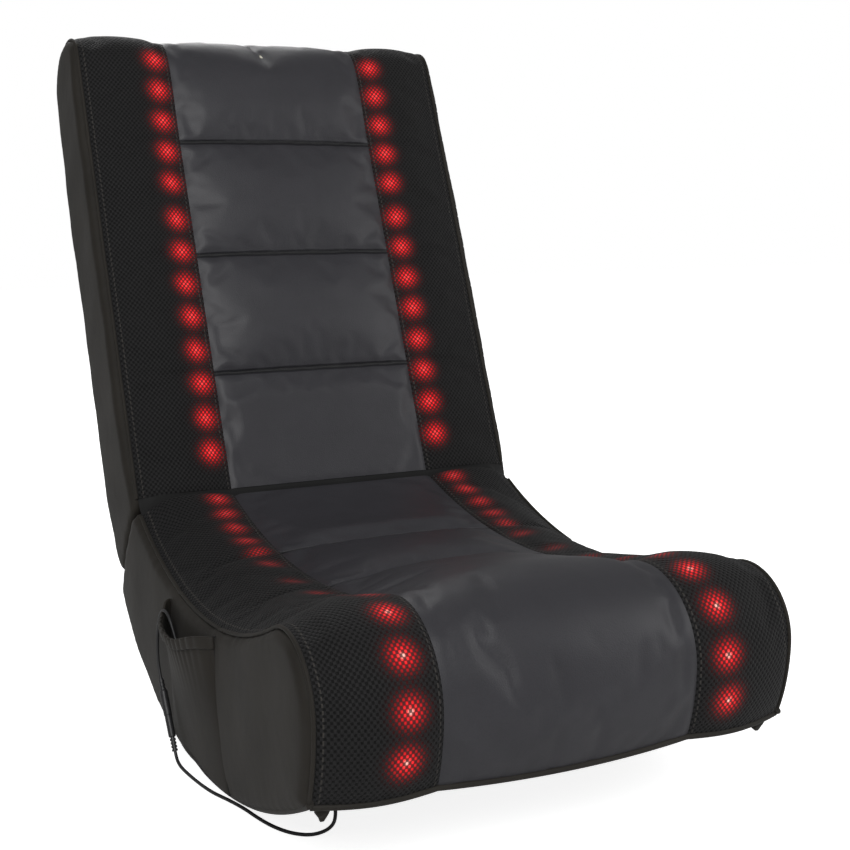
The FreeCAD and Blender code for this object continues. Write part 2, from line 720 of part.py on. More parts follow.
def back_foams():
    """The centre foam and the two wings of the back."""
    body = new_body("back_foam_middle", on_hinge)
    pad(body, back_foam_outline(sketch_on(body, "YZ_Plane"), "0", "cover_pad"), "2 * strip_inner", BOTH)
    trim_back(body, HEEL_FACE)
    for side, sign in (("left", ""), ("right", "0 - ")):
        body = new_body(f"back_foam_{side}", on_hinge)
        inner = back_foam_outline(sketch_on(body, "YZ_Plane", lift=f"{sign}strip_inner"), "0", WING)
        outer = back_foam_outline(sketch_on(body, "YZ_Plane", lift=f"{sign}{FRAME_HALF}"), "side_back",
                                  WING)
        loft(body, inner, outer)
        trim_back(body, HEEL_FACE)


def back_face(face, inset):
    """The back's face and round top, from the crease to the rear of the top."""
    depth = f"({face} + {inset})"
    return [(depth, below_parting(depth)),
            (depth, shoulder(depth, inset), f"({TOP_RADIUS} - {inset})", BEHIND),
            cover_end(inset)]


def back_cover():
    """The quilted centre cover of the back, over the top."""
    body = new_body("back_cover", on_hinge)
    face, inner = back_face("0", "0"), back_face("0", "cover_pad")
    corners = [face[0]]
    for row in ("row_one", "row_two", "row_three"):
        corners += [("0", f"({row} - seam_half)"), ("seam_depth", row),
                    ("0", f"({row} + seam_half)", "section_radius", BEHIND)]
    corners += face[1:] + backwards(inner)
    pad(body, outline(sketch_on(body, "YZ_Plane"), corners), "2 * strip_inner", BOTH)
    trim_back(body, "crease_gap")


def back_meshes():
    """Spacer mesh strips beside the back's centre cover."""
    for side, sign in (("left", ""), ("right", "0 - ")):
        body = new_body(f"back_mesh_{side}", on_hinge)
        sketches = []
        for face, lift in (("0", "strip_inner"), ("side_back", FRAME_HALF)):
            corners = back_face(face, "0") + backwards(back_face(face, "mesh_thick"))
            sketches.append(outline(sketch_on(body, "YZ_Plane", lift=sign + lift), corners))
        loft(body, *sketches)
        trim_back(body, "crease_gap")


def back_panels():
    """Padded side panels of the back."""
    for side in ("left", "right"):
        body = new_body(f"back_panel_{side}", on_hinge)
        bevelled(body, side, lambda sketch, inset: back_outline(sketch, "side_back", inset))
        trim_back(body, LEAF_FACE)


# The hinges: two leaves with interleaved knuckles on a loose pin, screwed to the rails
THIRD = "(leaf_wide / 3)"
SCREWS = (("0 - leaf_wide * 0.32", "leaf_long * 0.45"), ("leaf_wide * 0.32", "leaf_long * 0.45"),
          ("0", "leaf_long * 0.82"))


def on_parting(body, sign):
    """Hinge parts are drawn with the pin at the origin and the parting plane level."""
    turn = FreeCAD.Rotation(FreeCAD.Vector(-1, 0, 0), 1)
    body.Placement = FreeCAD.Placement(FreeCAD.Vector(), turn)
    bind(body, "Placement.Rotation.Angle", "parting_angle")
    bind(body, "Placement.Base.y", "hinge_y")
    bind(body, "Placement.Base.z", "hinge_z")
    bind(body, "Placement.Base.x", f"{sign}(half_width - leaf_in)")


def hinge_leaf(name, sign, facing, knuckles):
    """A leaf: its plate, its knuckles and its countersunk holes; facing is -1 under the plane."""
    body = new_body(name, lambda piece: on_parting(piece, sign))
    near, far = (f"(0 - {LEAF_FACE})", "(0 - leaf_play)") if facing < 0 else ("leaf_play", LEAF_FACE)
    clear = "(knuckle_radius + knuckle_gap)"
    plate = outline(sketch_on(body, "YZ_Plane"), box_corners(clear, near, "leaf_long", far))
    pad(body, plate, "leaf_wide", BOTH)
    for lift, length in knuckles:
        roll = circle_in(sketch_on(body, "YZ_Plane", lift=lift), "0", "0", "knuckle_radius")
        pad(body, roll, length)
        web = outline(sketch_on(body, "YZ_Plane", lift=lift),
                      box_corners("(knuckle_radius / 2)", near, f"({clear} + 1)", far))
        pad(body, web, length)
    cut_through(body, circle_in(sketch_on(body, "YZ_Plane"), "0", "0", "(pin_radius + pin_play)"))
    sink_holes(body, facing)
    return body


def sink_holes(body, facing):
    """Countersunk screw holes through a leaf, from the parting plane's side."""
    for across, along in SCREWS:
        add_revolved(body, "PartDesign::Groove", across, along, facing, [
            ("0", "0 - 1"), ("screw_head + screw_play", "0 - 1"), ("screw_head + screw_play", "0.1"),
            ("screw_radius + screw_play", "screw_sink"), ("screw_radius + screw_play", "leaf_thick + 1"),
            ("0", "leaf_thick + 1")])


def add_revolved(body, kind, across, along, facing, corners):
    """Turn an outline of (radius, depth under the leaf's face) about a screw's axis."""
    sketch = body.newObject("Sketcher::SketchObject", body.Name + "_turned")
    planes = {plane.Role: plane for plane in body.Origin.OriginFeatures}
    sketch.AttachmentSupport = (planes["XZ_Plane"], [""])
    sketch.MapMode = "FlatFace"
    bind(sketch, "AttachmentOffset.Base.x", across)
    bind(sketch, "AttachmentOffset.Base.z", f"0 - ({along})")
    sign = "0 - " if facing < 0 else ""
    outline(sketch, [(radius, f"{sign}(leaf_play + ({depth}))") for radius, depth in corners])
    doc.recompute()
    before = body.Shape.Volume if kind.endswith("Groove") else 0
    feature = body.newObject(kind, body.Name + "_turn")
    feature.Profile = sketch
    feature.ReferenceAxis = (sketch, ["V_Axis"])
    feature.Angle = 360
    doc.recompute()
    if kind.endswith("Groove") and not body.Shape.Volume < before:
        raise ValueError(body.Label + ": a countersink removed nothing")
    return feature


def hinge_screws(name, facing, sign):
    """The three countersunk wood screws of a leaf."""
    body = new_body(name, lambda piece: on_parting(piece, sign))
    for across, along in SCREWS:
        add_revolved(body, "PartDesign::Revolution", across, along, facing, [
            ("0", "0.1"), ("screw_head", "0.1"), ("screw_radius", "screw_sink"),
            ("screw_radius", "screw_long - 2"), ("0", "screw_long")])
    return body


def hinges():
    """Both hinges, alike on either side."""
    third = "(leaf_wide / 6 + knuckle_gap / 2)"
    outer_long = f"(leaf_wide / 2 - {third})"
    for side, sign in (("left", ""), ("right", "0 - ")):
        hinge_leaf(f"hinge_leaf_seat_{side}", sign, -1,
                   [("0 - leaf_wide / 2", outer_long), (third, outer_long)])
        hinge_leaf(f"hinge_leaf_back_{side}", sign, 1,
                   [("0 - leaf_wide / 6 + knuckle_gap / 2", f"({THIRD} - knuckle_gap)")])
        hinge_screws(f"hinge_screws_seat_{side}", -1, sign)
        hinge_screws(f"hinge_screws_back_{side}", 1, sign)
        pin = new_body(f"hinge_pin_{side}", lambda piece: on_parting(piece, sign))
        half = "(leaf_wide / 2 + knuckle_gap)"
        pad(pin, circle_in(sketch_on(pin, "YZ_Plane"), "0", "0", "pin_radius"), f"2 * {half}", BOTH)
        for lift in (half, f"0 - {half} - pin_head"):
            head = circle_in(sketch_on(pin, "YZ_Plane", lift=lift), "0", "0", "(pin_radius + pin_head)")
            pad(pin, head, "pin_head")


# Light strips: a flexible strip on the foam with its lamps
STRIP_MIDDLE = "(strip_inner + strip_in)"
STRIP_BACK = "(strip_sunk + strip_thick)"
LAMP_FACE = "(strip_sunk - lamp_high)"


LAMP_SHARE = f"(strip_in / ({FRAME_HALF} - strip_inner))"


def lamp_line():
    """The seat's curve where the lamps are, between its centre and its outer seam."""
    return {name: f"({CENTRE[name]} + ({SIDE[name]} - {CENTRE[name]}) * {LAMP_SHARE})" for name in CENTRE}


def narrow(body, sign):
    """Cut a layer as wide as the mesh down to a strip."""
    near, far = f"({STRIP_MIDDLE} - strip_wide / 2)", f"({STRIP_MIDDLE} + strip_wide / 2)"
    for start, end in (("(strip_inner - 1)", near), (far, f"({FRAME_HALF} + 1)")):
        sketch = sketch_on(body, "XY_Plane")
        cut_through(body, outline(sketch, [(f"{sign}{start}", "0 - 900"), (f"{sign}{end}", "0 - 900"),
                                           (f"{sign}{end}", "900"), (f"{sign}{start}", "900")]))


def lamps_about(body, centre, spoke, turn, count, pitch, lift):
    """A lamp on a spoke from a centre, turned to its first place, and its copies further on."""
    sketch = sketch_on(body, "YZ_Plane", lift=lift, across=centre[0], up=centre[1])
    sketch.AttachmentOffset = FreeCAD.Placement(FreeCAD.Vector(), FreeCAD.Rotation(FreeCAD.Vector(0, 0, 1), 1))
    for axis, text in (("x", centre[0]), ("y", centre[1]), ("z", lift)):
        bind(sketch, "AttachmentOffset.Base." + axis, text)
    bind(sketch, "AttachmentOffset.Rotation.Angle", turn)
    outline(sketch, box_corners("0 - lamp_size / 2", spoke[0], "lamp_size / 2", spoke[1]))
    first = pad(body, sketch, "lamp_size")
    if count == 1:
        return
    doc.recompute()
    pattern = body.newObject("PartDesign::PolarPattern", body.Name + "_lamps")
    pattern.Originals = [first]
    pattern.Axis = (sketch, ["N_Axis"])
    pattern.Mode = "Spacing"
    pattern.Occurrences = count
    bind(pattern, "Offset", pitch)
    body.Tip = pattern


def seat_lights():
    """The strips from the crease over the roll to the front's lower edge."""
    for side, sign in (("left", ""), ("right", "0 - ")):
        body = new_body(f"light_strip_seat_{side}")
        sketches = []
        for line, lift in ((CENTRE, "strip_inner"), (SIDE, FRAME_HALF)):
            corners = seat_front(line, "strip_sunk") + backwards(seat_front(line, STRIP_BACK))
            sketches.append(outline(sketch_on(body, "YZ_Plane", lift=sign + lift), corners))
        loft(body, *sketches)
        narrow(body, sign)
        trim_base(body, "crease_gap")
        line, lift = lamp_line(), f"{sign}{STRIP_MIDDLE} - lamp_size / 2"
        radius, roll = line["radius"], line["roll"]
        rooted = "(strip_sunk + strip_thick / 2)"
        centre = ("seat_mid", f"({line['low']} + {radius})")
        spoke = (f"(0 - {radius} - {rooted})", f"(0 - {radius} - {LAMP_FACE})")
        pitch = f"(lamp_pitch / {radius} * 180 / pi * 1 deg)"
        reach = f"asin(({line['roll_y']} - seat_mid) / ({radius} + {roll}))"
        lamps_about(body, centre, spoke, f"({reach} + {pitch} / 2)", 11, pitch, lift)
        centre = (line["roll_y"], roll_height(line))
        spoke = (f"({roll} - {rooted})", f"({roll} - {LAMP_FACE})")
        pitch = f"(lamp_pitch / {roll} * 180 / pi * 1 deg)"
        lamps_about(body, centre, spoke, "3 deg", 3, pitch, lift)
        centre = (f"({line['roll_y']} - {roll} + front_radius)", roll_height(line))
        spoke = (f"(front_radius - {rooted})", f"(front_radius - {LAMP_FACE})")
        lamps_about(body, centre, spoke, "99 deg", 1, "0", lift)


def back_lights():
    """The straight strips of the back."""
    low, high = "(lamp_first - lamp_pitch / 2)", "(lamp_first + lamp_pitch * 12.5)"
    for side, sign in (("left", ""), ("right", "0 - ")):
        body = new_body(f"light_strip_back_{side}", on_hinge)
        sketches = []
        for face, lift in (("0", "strip_inner"), ("side_back", FRAME_HALF)):
            corners = box_corners(f"({face} + strip_sunk)", low, f"({face} + {STRIP_BACK})", high)
            sketches.append(outline(sketch_on(body, "YZ_Plane", lift=sign + lift), corners))
        loft(body, *sketches)
        narrow(body, sign)
        sunk = f"(side_back * {LAMP_SHARE} + strip_sunk)"
        corners = box_corners(f"({sunk} - lamp_high)", "(lamp_first - lamp_size / 2)",
                              f"({sunk} + strip_thick / 2)", "(lamp_first + lamp_size / 2)")
        lamp = outline(sketch_on(body, "YZ_Plane", lift=f"{sign}{STRIP_MIDDLE} - lamp_size / 2"), corners)
        first = pad(body, lamp, "lamp_size")
        doc.recompute()
        pattern = body.newObject("PartDesign::LinearPattern", body.Name + "_lamps")
        pattern.Originals = [first]
        pattern.Direction = (lamp, ["V_Axis"])
        pattern.Mode = "Spacing"
        pattern.Occurrences = 13
        bind(pattern, "Offset", "lamp_pitch")
        body.Tip = pattern


# The side pocket: a pouch whose mouth stands off the side panel
def bow_radius(rear, front, out):
    """Radius of a bow from rear to front that stands off the panel by out."""
    return f"((({rear} - {front})^2 / 4 + {out}^2) / (2 * {out}))"


def bow(sketch, rear, front, out, thick):
    """A bow of cloth standing off the side panel, both its faces."""
    wall = "(0 - half_width)"
    inner = (f"({rear} - {thick})", f"({front} + {thick})", f"({out} - {thick})")
    return outline(sketch, [
        (wall, rear, bow_radius(rear, front, out), AHEAD),
        (wall, front), (wall, inner[1], bow_radius(*inner), BEHIND), (wall, inner[0])])


def side_pocket():
    """The pouch and its elastic hem, on the sitter's right."""
    body = new_body("side_pocket")
    top = sketch_on(body, "XY_Plane", lift="pocket_top")
    low = sketch_on(body, "XY_Plane", lift="pocket_floor")
    loft(body, bow(top, "pocket_rear", "pocket_front", "pocket_out", "pocket_wall"),
         bow(low, "pocket_rear", "pocket_toe", "pocket_foot", "pocket_wall"))
    floor = outline(sketch_on(body, "XY_Plane", lift="pocket_floor"), [
        ("(0 - half_width)", "pocket_rear", bow_radius("pocket_rear", "pocket_toe", "pocket_foot"), AHEAD),
        ("(0 - half_width)", "pocket_toe")])
    pad(body, floor, "pocket_wall", BEHIND)
    hem = new_body("pocket_hem")
    sketch = sketch_on(hem, "XY_Plane", lift="pocket_top")
    pad(hem, bow(sketch, "pocket_rear", "pocket_front", "pocket_out", "hem_thick"), "hem_high")


def corner_tucks():
    """Gathered corners of the cloths under the front of the seat."""
    for side, place in (("left", f"({FRAME_HALF} - tuck_wide)"), ("right", f"(0 - {FRAME_HALF})")):
        body = new_body(f"corner_tuck_{side}")
        front, rear = "tuck_y", "(tuck_y + tuck_long)"
        sketch = outline(sketch_on(body, "YZ_Plane", lift=place), [
            (front, rocker_height(front, "0", "rocker_front"), "tuck_radius", AHEAD),
            (rear, rocker_height(rear, "0", "rocker_front"), "rocker_front", BEHIND)])
        pad(body, sketch, "tuck_wide")


# The lead: grommet under the seat, a free run over the floor, an in-line connector, and a tail
# over the pocket's hem to a plug inside the pocket
CONNECTOR_LOW = (-227.5, -3.0, 10.0)
CONNECTOR_HIGH = (-229.0, 34.0, 67.0)
PLUG_TOP = (-219.0, -28.0, 80.0)
GROMMET_MOUTH = (-150.0, -201.6, 26.9)

LAMP_LEAD = [
    CONNECTOR_LOW, (-227.4, -6.5, 4.5), (-227.2, -14.0, 1.6), (-227.0, -25.0, 1.5), (-225.6, -39.0, 1.6),
    (-223.4, -54.0, 1.5), (-220.8, -69.0, 1.6), (-216.6, -86.0, 1.5), (-209.0, -105.0, 1.6),
    (-202.0, -126.0, 1.5), (-197.5, -148.0, 1.6), (-191.0, -169.0, 1.5), (-181.0, -187.0, 1.6),
    (-168.0, -199.0, 2.8), (-155.5, -204.8, 8.2), (-150.0, -205.1, 17.2), GROMMET_MOUTH,
]
SUPPLY_LEAD = [
    CONNECTOR_HIGH, (-229.2, 38.4, 73.7), (-229.5, 41.3, 85.0), (-229.0, 42.5, 98.0),
    (-228.5, 42.0, 111.5), (-227.5, 39.0, 124.0), (-226.5, 30.0, 134.5), (-225.5, 18.0, 135.5),
    (-224.5, 8.0, 127.5), (-223.0, 1.5, 115.5), (-221.5, -7.0, 103.5), (-220.0, -17.5, 94.5),
    (-219.3, -26.0, 88.0), PLUG_TOP,
]


def lead_path(points):
    """Straight runs joined by tangent arcs, each as large as its two runs allow."""
    places = [FreeCAD.Vector(*point) for point in points]
    edges, start, radii = [], places[0], []
    for before, here, after in zip(places, places[1:], places[2:]):
        back, on = before - here, after - here
        half_turn = (math.pi - back.getAngle(on)) / 2
        radius = 0.45 * min(back.Length, on.Length) / math.tan(half_turn)
        reach = radius * math.tan(half_turn)
        back, on = back.normalize(), on.normalize()
        first, last = here + back * reach, here + on * reach
        inward = (back + on).normalize()
        middle = here + inward * (radius / math.cos(half_turn) - radius)
        edges.append(Part.LineSegment(start, first).toShape())
        edges.append(Part.Arc(first, middle, last).toShape())
        start = last
        radii.append(radius)
    edges.append(Part.LineSegment(start, places[-1]).toShape())
    return Part.Wire(edges), radii


def lead(name, points):
    """A round lead along its route."""
    path, radii = lead_path(points)
    thick = value("lead_radius")
    start = path.Edges[0]
    ring = Part.Circle(start.valueAt(start.FirstParameter), start.tangentAt(start.FirstParameter), thick)
    tube = path.makePipeShell([Part.Wire(ring.toShape())], True, True)
    piece = doc.addObject("Part::Feature", name)
    piece.Label = name
    piece.Shape = tube
    piece.Placement = FreeCAD.Placement()
    pieces.append(piece)
    expected = math.pi * thick ** 2 * path.Length
    print(f"{name}: {path.Length:.1f} mm, smallest radius {min(radii):.1f} mm, "
          f"volume {tube.Volume:.1f} against {expected:.1f}")
    print("  radii", " ".join(f"{radius:.1f}" for radius in radii))


def on_connector(body):
    """The connector's pieces are drawn upright and laid along the line between its two ends."""
    low, high = FreeCAD.Vector(*CONNECTOR_LOW), FreeCAD.Vector(*CONNECTOR_HIGH)
    body.Placement = FreeCAD.Placement(low, FreeCAD.Rotation(FreeCAD.Vector(0, 0, 1), high - low))


def turned(name, corners, place):
    """A piece turned about its own upright axis; a corner is (radius, height)."""
    body = new_body(name, place)
    sketch = outline(sketch_on(body, "XZ_Plane"), corners)
    feature = body.newObject("PartDesign::Revolution", name + "_turn")
    feature.Profile = sketch
    feature.ReferenceAxis = (sketch, ["V_Axis"])
    feature.Angle = 360
    return body


def ribbed(start, length, count):
    """The stepped side of a ribbed strain relief, as (radius, height)."""
    step = f"({length} / {2 * count})"
    corners = []
    for index in range(2 * count):
        radius = "relief_radius" if index % 2 == 0 else "(relief_radius - rib_deep)"
        corners += [(radius, f"({start} + {step} * {index})"), (radius, f"({start} + {step} * {index + 1})")]
    return corners


def connector():
    """Plug, socket and a ribbed relief at either end, on one line."""
    plug = "relief_low_long"
    socket = f"({plug} + plug_long)"
    top = f"({socket} + socket_long)"
    end = f"({top} + relief_high_long)"
    bevel = "0.6"
    turned("lead_relief_low", [("0", "0")] + ribbed("0", "relief_low_long", 4) + [("0", plug)], on_connector)
    turned("lead_plug", [
        ("0", plug), (f"(plug_radius - {bevel})", plug), ("plug_radius", f"({plug} + {bevel})"),
        ("plug_radius", socket), ("0", socket)], on_connector)
    turned("lead_socket", [
        ("0", socket), (f"(socket_radius - {bevel})", socket), ("socket_radius", f"({socket} + {bevel})"),
        ("socket_radius", f"({top} - 2 * {bevel})"), (f"(socket_radius - {bevel})", top), ("0", top)],
        on_connector)
    turned("lead_relief_high", [("0", top)] + ribbed(top, "relief_high_long", 3) + [("0", end)], on_connector)


def grommet():
    """The bush where the lead leaves the underside: stem, flange and nose."""
    def place(body):
        angle = math.degrees(math.asin(value("grommet_y") / value("rocker_front")))
        body.Placement = FreeCAD.Placement(
            FreeCAD.Vector(), FreeCAD.Rotation(FreeCAD.Vector(1, 0, 0), angle))
        bind(body, "Placement.Base.x", "grommet_x")
        bind(body, "Placement.Base.y", "grommet_y")
        bind(body, "Placement.Base.z", rocker_height("grommet_y", "0", "rocker_front"))

    turned("lead_grommet", [
        ("0", RIB_LOW), ("0", "0 - grommet_high"), ("grommet_nose", "0 - grommet_high"),
        ("(grommet_nose + 1)", "0 - grommet_flange"), ("grommet_radius", "0 - grommet_flange"),
        ("grommet_radius", "0"), ("grommet_stem", "0"), ("grommet_stem", RIB_LOW)][::-1], place)


def supply_plug():
    """The plug at the lead's end, lying in the pocket against the panel."""
    def place(body):
        body.Placement = FreeCAD.Placement(FreeCAD.Vector(*PLUG_TOP), FreeCAD.Rotation())

    body = new_body("supply_plug", place)
    sketch = outline(sketch_on(body, "XY_Plane", lift="0 - tab_long"), box_corners(
        "0 - tab_thick / 2", "0 - tab_wide / 2", "tab_thick / 2", "tab_wide / 2"))
    pad(body, sketch, "tab_long")
    dress(body, "Fillet", "Radius", "1.5", lambda edge: abs(edge.tangentAt(edge.FirstParameter).z) > 0.9)
    shell = new_body("supply_plug_shell", place)
    sketch = outline(sketch_on(shell, "XY_Plane", lift="0 - tab_long - shell_long"), box_corners(
        "0 - shell_thick / 2", "0 - shell_wide / 2", "shell_thick / 2", "shell_wide / 2"))
    pad(shell, sketch, "shell_long")


def grommet_hole(body):
    """The hole that the grommet's stem passes through."""
    cut_through(body, circle_in(sketch_on(body, "XY_Plane"), "grommet_x", "grommet_y", "grommet_hole"))


def write_parts():
    """Check every object of the document and write each sub-part's shape."""
    doc.recompute()
    for thing in doc.Objects:
        if "Invalid" in thing.State or "Error" in thing.State:
            raise ValueError(f"{thing.Name}: {thing.State}")
    os.makedirs("parts", exist_ok=True)
    for piece in pieces:
        if piece.Shape.isNull() or not piece.Shape.isValid() or not piece.Shape.Solids:
            raise ValueError(piece.Label + " has no valid shape")
        piece.Shape.exportStep(f"parts/{piece.Label}.step")
    print(len(pieces), "sub-parts")


for rib in RIB_PLACES:
    seat_rib(rib)
for rail in RAIL_PLACES:
    seat_rail(rail)
rear_rail()
seat_deck()
grommet_hole(underside_layer("seat_underside", "base_cloth", RIB_LOW, "(front_back + 2 * skin)"))
grommet_hole(underside_layer("seat_base_cloth", "0", "base_cloth", "front_back"))
seat_foams()
seat_cover()
seat_meshes()
seat_panels()
back_stiles()
heel_rail()
back_webbing()
back_rear_cloth()
back_foams()
back_cover()
back_meshes()
back_panels()
hinges()
seat_lights()
back_lights()
side_pocket()
corner_tucks()
grommet()
connector()
lead("lamp_lead", LAMP_LEAD)
lead("supply_lead", SUPPLY_LEAD)
supply_plug()
write_parts()
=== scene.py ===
# %% [markdown]
# # A folding floor rocker chair, dressed in Blender
# The chair is a curved plywood base and a hinged back, both wrapped in foam. Over the foam lie a
# quilted leather cover down the middle and a strip of thick air mesh down each side, with red lamps
# under the mesh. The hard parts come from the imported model; here they get their upholstery.

# %% Load the frame
import bpy
import json
import math
import numpy as np
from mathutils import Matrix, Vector


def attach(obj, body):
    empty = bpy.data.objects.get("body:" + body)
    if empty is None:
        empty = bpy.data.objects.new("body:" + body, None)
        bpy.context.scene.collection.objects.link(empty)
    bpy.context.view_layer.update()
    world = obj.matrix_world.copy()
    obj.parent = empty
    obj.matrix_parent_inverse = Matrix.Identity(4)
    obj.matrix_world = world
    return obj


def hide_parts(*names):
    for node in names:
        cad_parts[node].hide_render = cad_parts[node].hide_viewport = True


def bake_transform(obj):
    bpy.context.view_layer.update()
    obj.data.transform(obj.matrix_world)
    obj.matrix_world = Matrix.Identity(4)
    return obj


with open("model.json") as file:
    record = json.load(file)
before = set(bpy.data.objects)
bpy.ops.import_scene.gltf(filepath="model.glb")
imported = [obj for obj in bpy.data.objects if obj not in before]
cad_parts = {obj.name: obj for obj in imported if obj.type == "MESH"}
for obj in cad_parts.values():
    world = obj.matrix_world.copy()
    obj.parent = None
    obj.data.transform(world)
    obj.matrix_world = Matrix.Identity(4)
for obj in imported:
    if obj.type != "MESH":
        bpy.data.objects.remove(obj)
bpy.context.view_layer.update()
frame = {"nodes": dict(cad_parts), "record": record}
nodes = frame["nodes"]

# %% [markdown]
# The camera stands a little to the sitter's right, just above the seat. It could be placed by eye,
# but a long lens keeps the chair's edges nearly parallel and hides a wrong guess. So its place, its
# turn and its lens were found together, by matching corners of the chair with their real size.

# %% Camera
FRAME_SIZE = 850
FOCAL_PIXELS = 1377.0
SENSOR_WIDTH = 36.0
LOOK_DOWN = 9.85
LOOK_ASIDE = -25.46
camera_data = bpy.data.cameras.new("camera")
camera_data.sensor_width = SENSOR_WIDTH
camera_data.lens = SENSOR_WIDTH * FOCAL_PIXELS / FRAME_SIZE
camera = bpy.data.objects.new("camera", camera_data)
camera.location = (-0.532, -1.173, 0.518)
camera.rotation_euler = (math.radians(90.0 - LOOK_DOWN), 0.0, math.radians(LOOK_ASIDE))
bpy.context.scene.collection.objects.link(camera)
bpy.context.scene.camera = camera
print("lens:", round(camera_data.lens, 2), "mm")

# %% [markdown]
# Two thin leads meet in a small connector at the chair's side. One comes out of a grommet under the
# seat, and the other goes on into the pocket and ends in a plug. A lead could be a tube of mesh, but
# a curve stays round and is easy to move. The few points below only pull on a smooth NURBS spline.
# Its order is set once the points are in, or it stays a row of straight runs.

# %% The two leads
MM = 0.001
CONNECTOR_LOW = (-227.5, -3.0, 10.0)
CONNECTOR_HIGH = (-229.0, 34.0, 67.0)
LAMP_LEAD = [
    CONNECTOR_LOW, (-227.4, -6.5, 4.5), (-227.2, -14.0, 1.6), (-227.0, -25.0, 1.5), (-225.6, -39.0, 1.6),
    (-223.4, -54.0, 1.5), (-220.8, -69.0, 1.6), (-216.6, -86.0, 1.5), (-209.0, -105.0, 1.6),
    (-202.0, -126.0, 1.5), (-197.5, -148.0, 1.6), (-191.0, -169.0, 1.5), (-181.0, -187.0, 1.6),
    (-168.0, -199.0, 2.8), (-155.5, -204.8, 8.2), (-150.0, -205.1, 17.2), (-150.0, -201.6, 26.9),
]
SUPPLY_LEAD = [
    CONNECTOR_HIGH, (-229.2, 38.4, 73.7), (-229.5, 41.3, 85.0), (-229.0, 42.5, 98.0),
    (-228.5, 42.0, 111.5), (-227.5, 39.0, 124.0), (-226.5, 30.0, 134.5), (-225.5, 18.0, 135.5),
    (-224.5, 8.0, 127.5), (-223.0, 1.5, 115.5), (-221.5, -7.0, 103.5), (-220.0, -17.5, 94.5),
    (-219.3, -26.0, 88.0), (-219.0, -28.0, 80.0),
]


def smooth_lead(name, route, thickness):
    """A round cord along a NURBS spline."""
    data = bpy.data.curves.new(name, "CURVE")
    data.dimensions = "3D"
    spline = data.splines.new("NURBS")
    spline.points.add(len(route) - 1)
    for point, place in zip(spline.points, route):
        point.co = [length * MM for length in place] + [1.0]
        point.radius = thickness / 2
    spline.order_u = 3
    spline.use_endpoint_u = True
    spline.resolution_u = 8
    data.bevel_depth = 1.0
    data.bevel_resolution = 4
    lead = bpy.data.objects.new(name, data)
    bpy.context.scene.collection.objects.link(lead)
    return lead


LEAD_THICK = 0.003
lamp_lead = smooth_lead("lamp_lead_soft", LAMP_LEAD, LEAD_THICK)
supply_lead = smooth_lead("supply_lead_soft", SUPPLY_LEAD, LEAD_THICK)
relief_bits = [nodes[name] for name in ("lead_relief_low", "lead_plug", "lead_socket", "lead_relief_high")]
supply_bits = [nodes[name] for name in ("supply_plug", "supply_plug_shell")]
for lead, node_name, way_out, long, bits, other_end in (
        (lamp_lead, "lamp_lead", LAMP_LEAD[-1], 0.2487, relief_bits[:2], "connector"),
        (supply_lead, "supply_lead", CONNECTOR_HIGH, 0.1574, relief_bits[2:] + supply_bits, "plug")):
    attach(lead, "base")
    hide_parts(node_name)
    print(lead.name, "follows", len(lead.data.splines[0].points), "points")

# %% [markdown]
# Every finish below is a node material. It could be wired by hand in the shader editor, but a few
# short helpers keep the wiring readable here: one adds a node and fills its sockets, one does sums,
# one blends colours, and one makes a bump from a height.

# %% Helpers for finishes
def add_node(tree, kind, settings=None, **sockets):
    """Add a node; sockets take numbers, colours or another node's output."""
    made = tree.nodes.new(kind)
    for name, setting in (settings or {}).items():
        setattr(made, name, setting)
    for name, source in sockets.items():
        socket = made.inputs[int(name[2:])] if name.startswith("in") and name[2:].isdigit() \
            else made.inputs[name.replace("_", " ")]
        if isinstance(source, bpy.types.NodeSocket):
            tree.links.new(source, socket)
        else:
            socket.default_value = source
    return made


def sums(tree, work, first, second=0.0):
    """One step of arithmetic between sockets or numbers."""
    return add_node(tree, "ShaderNodeMath", {"operation": work}, in0=first, in1=second).outputs[0]


def shades(tree, amount, *stops):
    """A colour that runs through the stops as amount goes from 0 to 1."""
    ramp = add_node(tree, "ShaderNodeValToRGB", Fac=amount)
    band = ramp.color_ramp
    while len(band.elements) < len(stops):
        band.elements.new(0.5)
    for element, (place, colour) in zip(band.elements, stops):
        element.position = place
        element.color = (*colour, 1.0)
    return ramp.outputs["Color"]


def relief(tree, height, strength, distance, below=None):
    """A bump from a height, laid over another bump where one is given."""
    made = add_node(tree, "ShaderNodeBump", Height=height, Strength=strength, Distance=distance)
    if below is not None:
        tree.links.new(below, made.inputs["Normal"])
    return made.outputs["Normal"]


def new_finish(name, roughness=0.6, metallic=0.0, **plain):
    """A principled material, and its tree, shader and the object's own coordinates."""
    finish = bpy.data.materials.new(name)
    finish.use_nodes = True
    tree = finish.node_tree
    shader = tree.nodes["Principled BSDF"]
    shader.inputs["Roughness"].default_value = roughness
    shader.inputs["Metallic"].default_value = metallic
    for socket, number in plain.items():
        shader.inputs[socket.replace("_", " ")].default_value = number
    place = tree.nodes.new("ShaderNodeTexCoord").outputs["Object"]
    return finish, tree, shader, place


def grain(tree, place, scale, detail=2.0):
    """Soft cloudy noise from 0 to 1."""
    made = add_node(tree, "ShaderNodeTexNoise", Vector=place, Scale=scale, Detail=detail, Roughness=0.5)
    return made.outputs["Fac"]


print("helpers: add_node, sums, shades, relief, new_finish, grain")

# %% [markdown]
# The middle cover is a coated cloth pressed with a fine pebble. Voronoi cells about a millimetre
# across give the pebbles, and a slower noise lets some patches shine more, as worn leather does.
# The sewn rows are tight folds, with painted shade in them. Modelled in full they would need far more
# cloth points, so the grid only carries the soft pull, and the material draws the fold at its place
# on the cut cloth, with a bump and a colour darkened towards black as painted shade.

# %% Faux leather
SEAT_FOLDS = (0.1470, 0.2722)
BACK_FOLDS = (0.127, 0.260, 0.392)


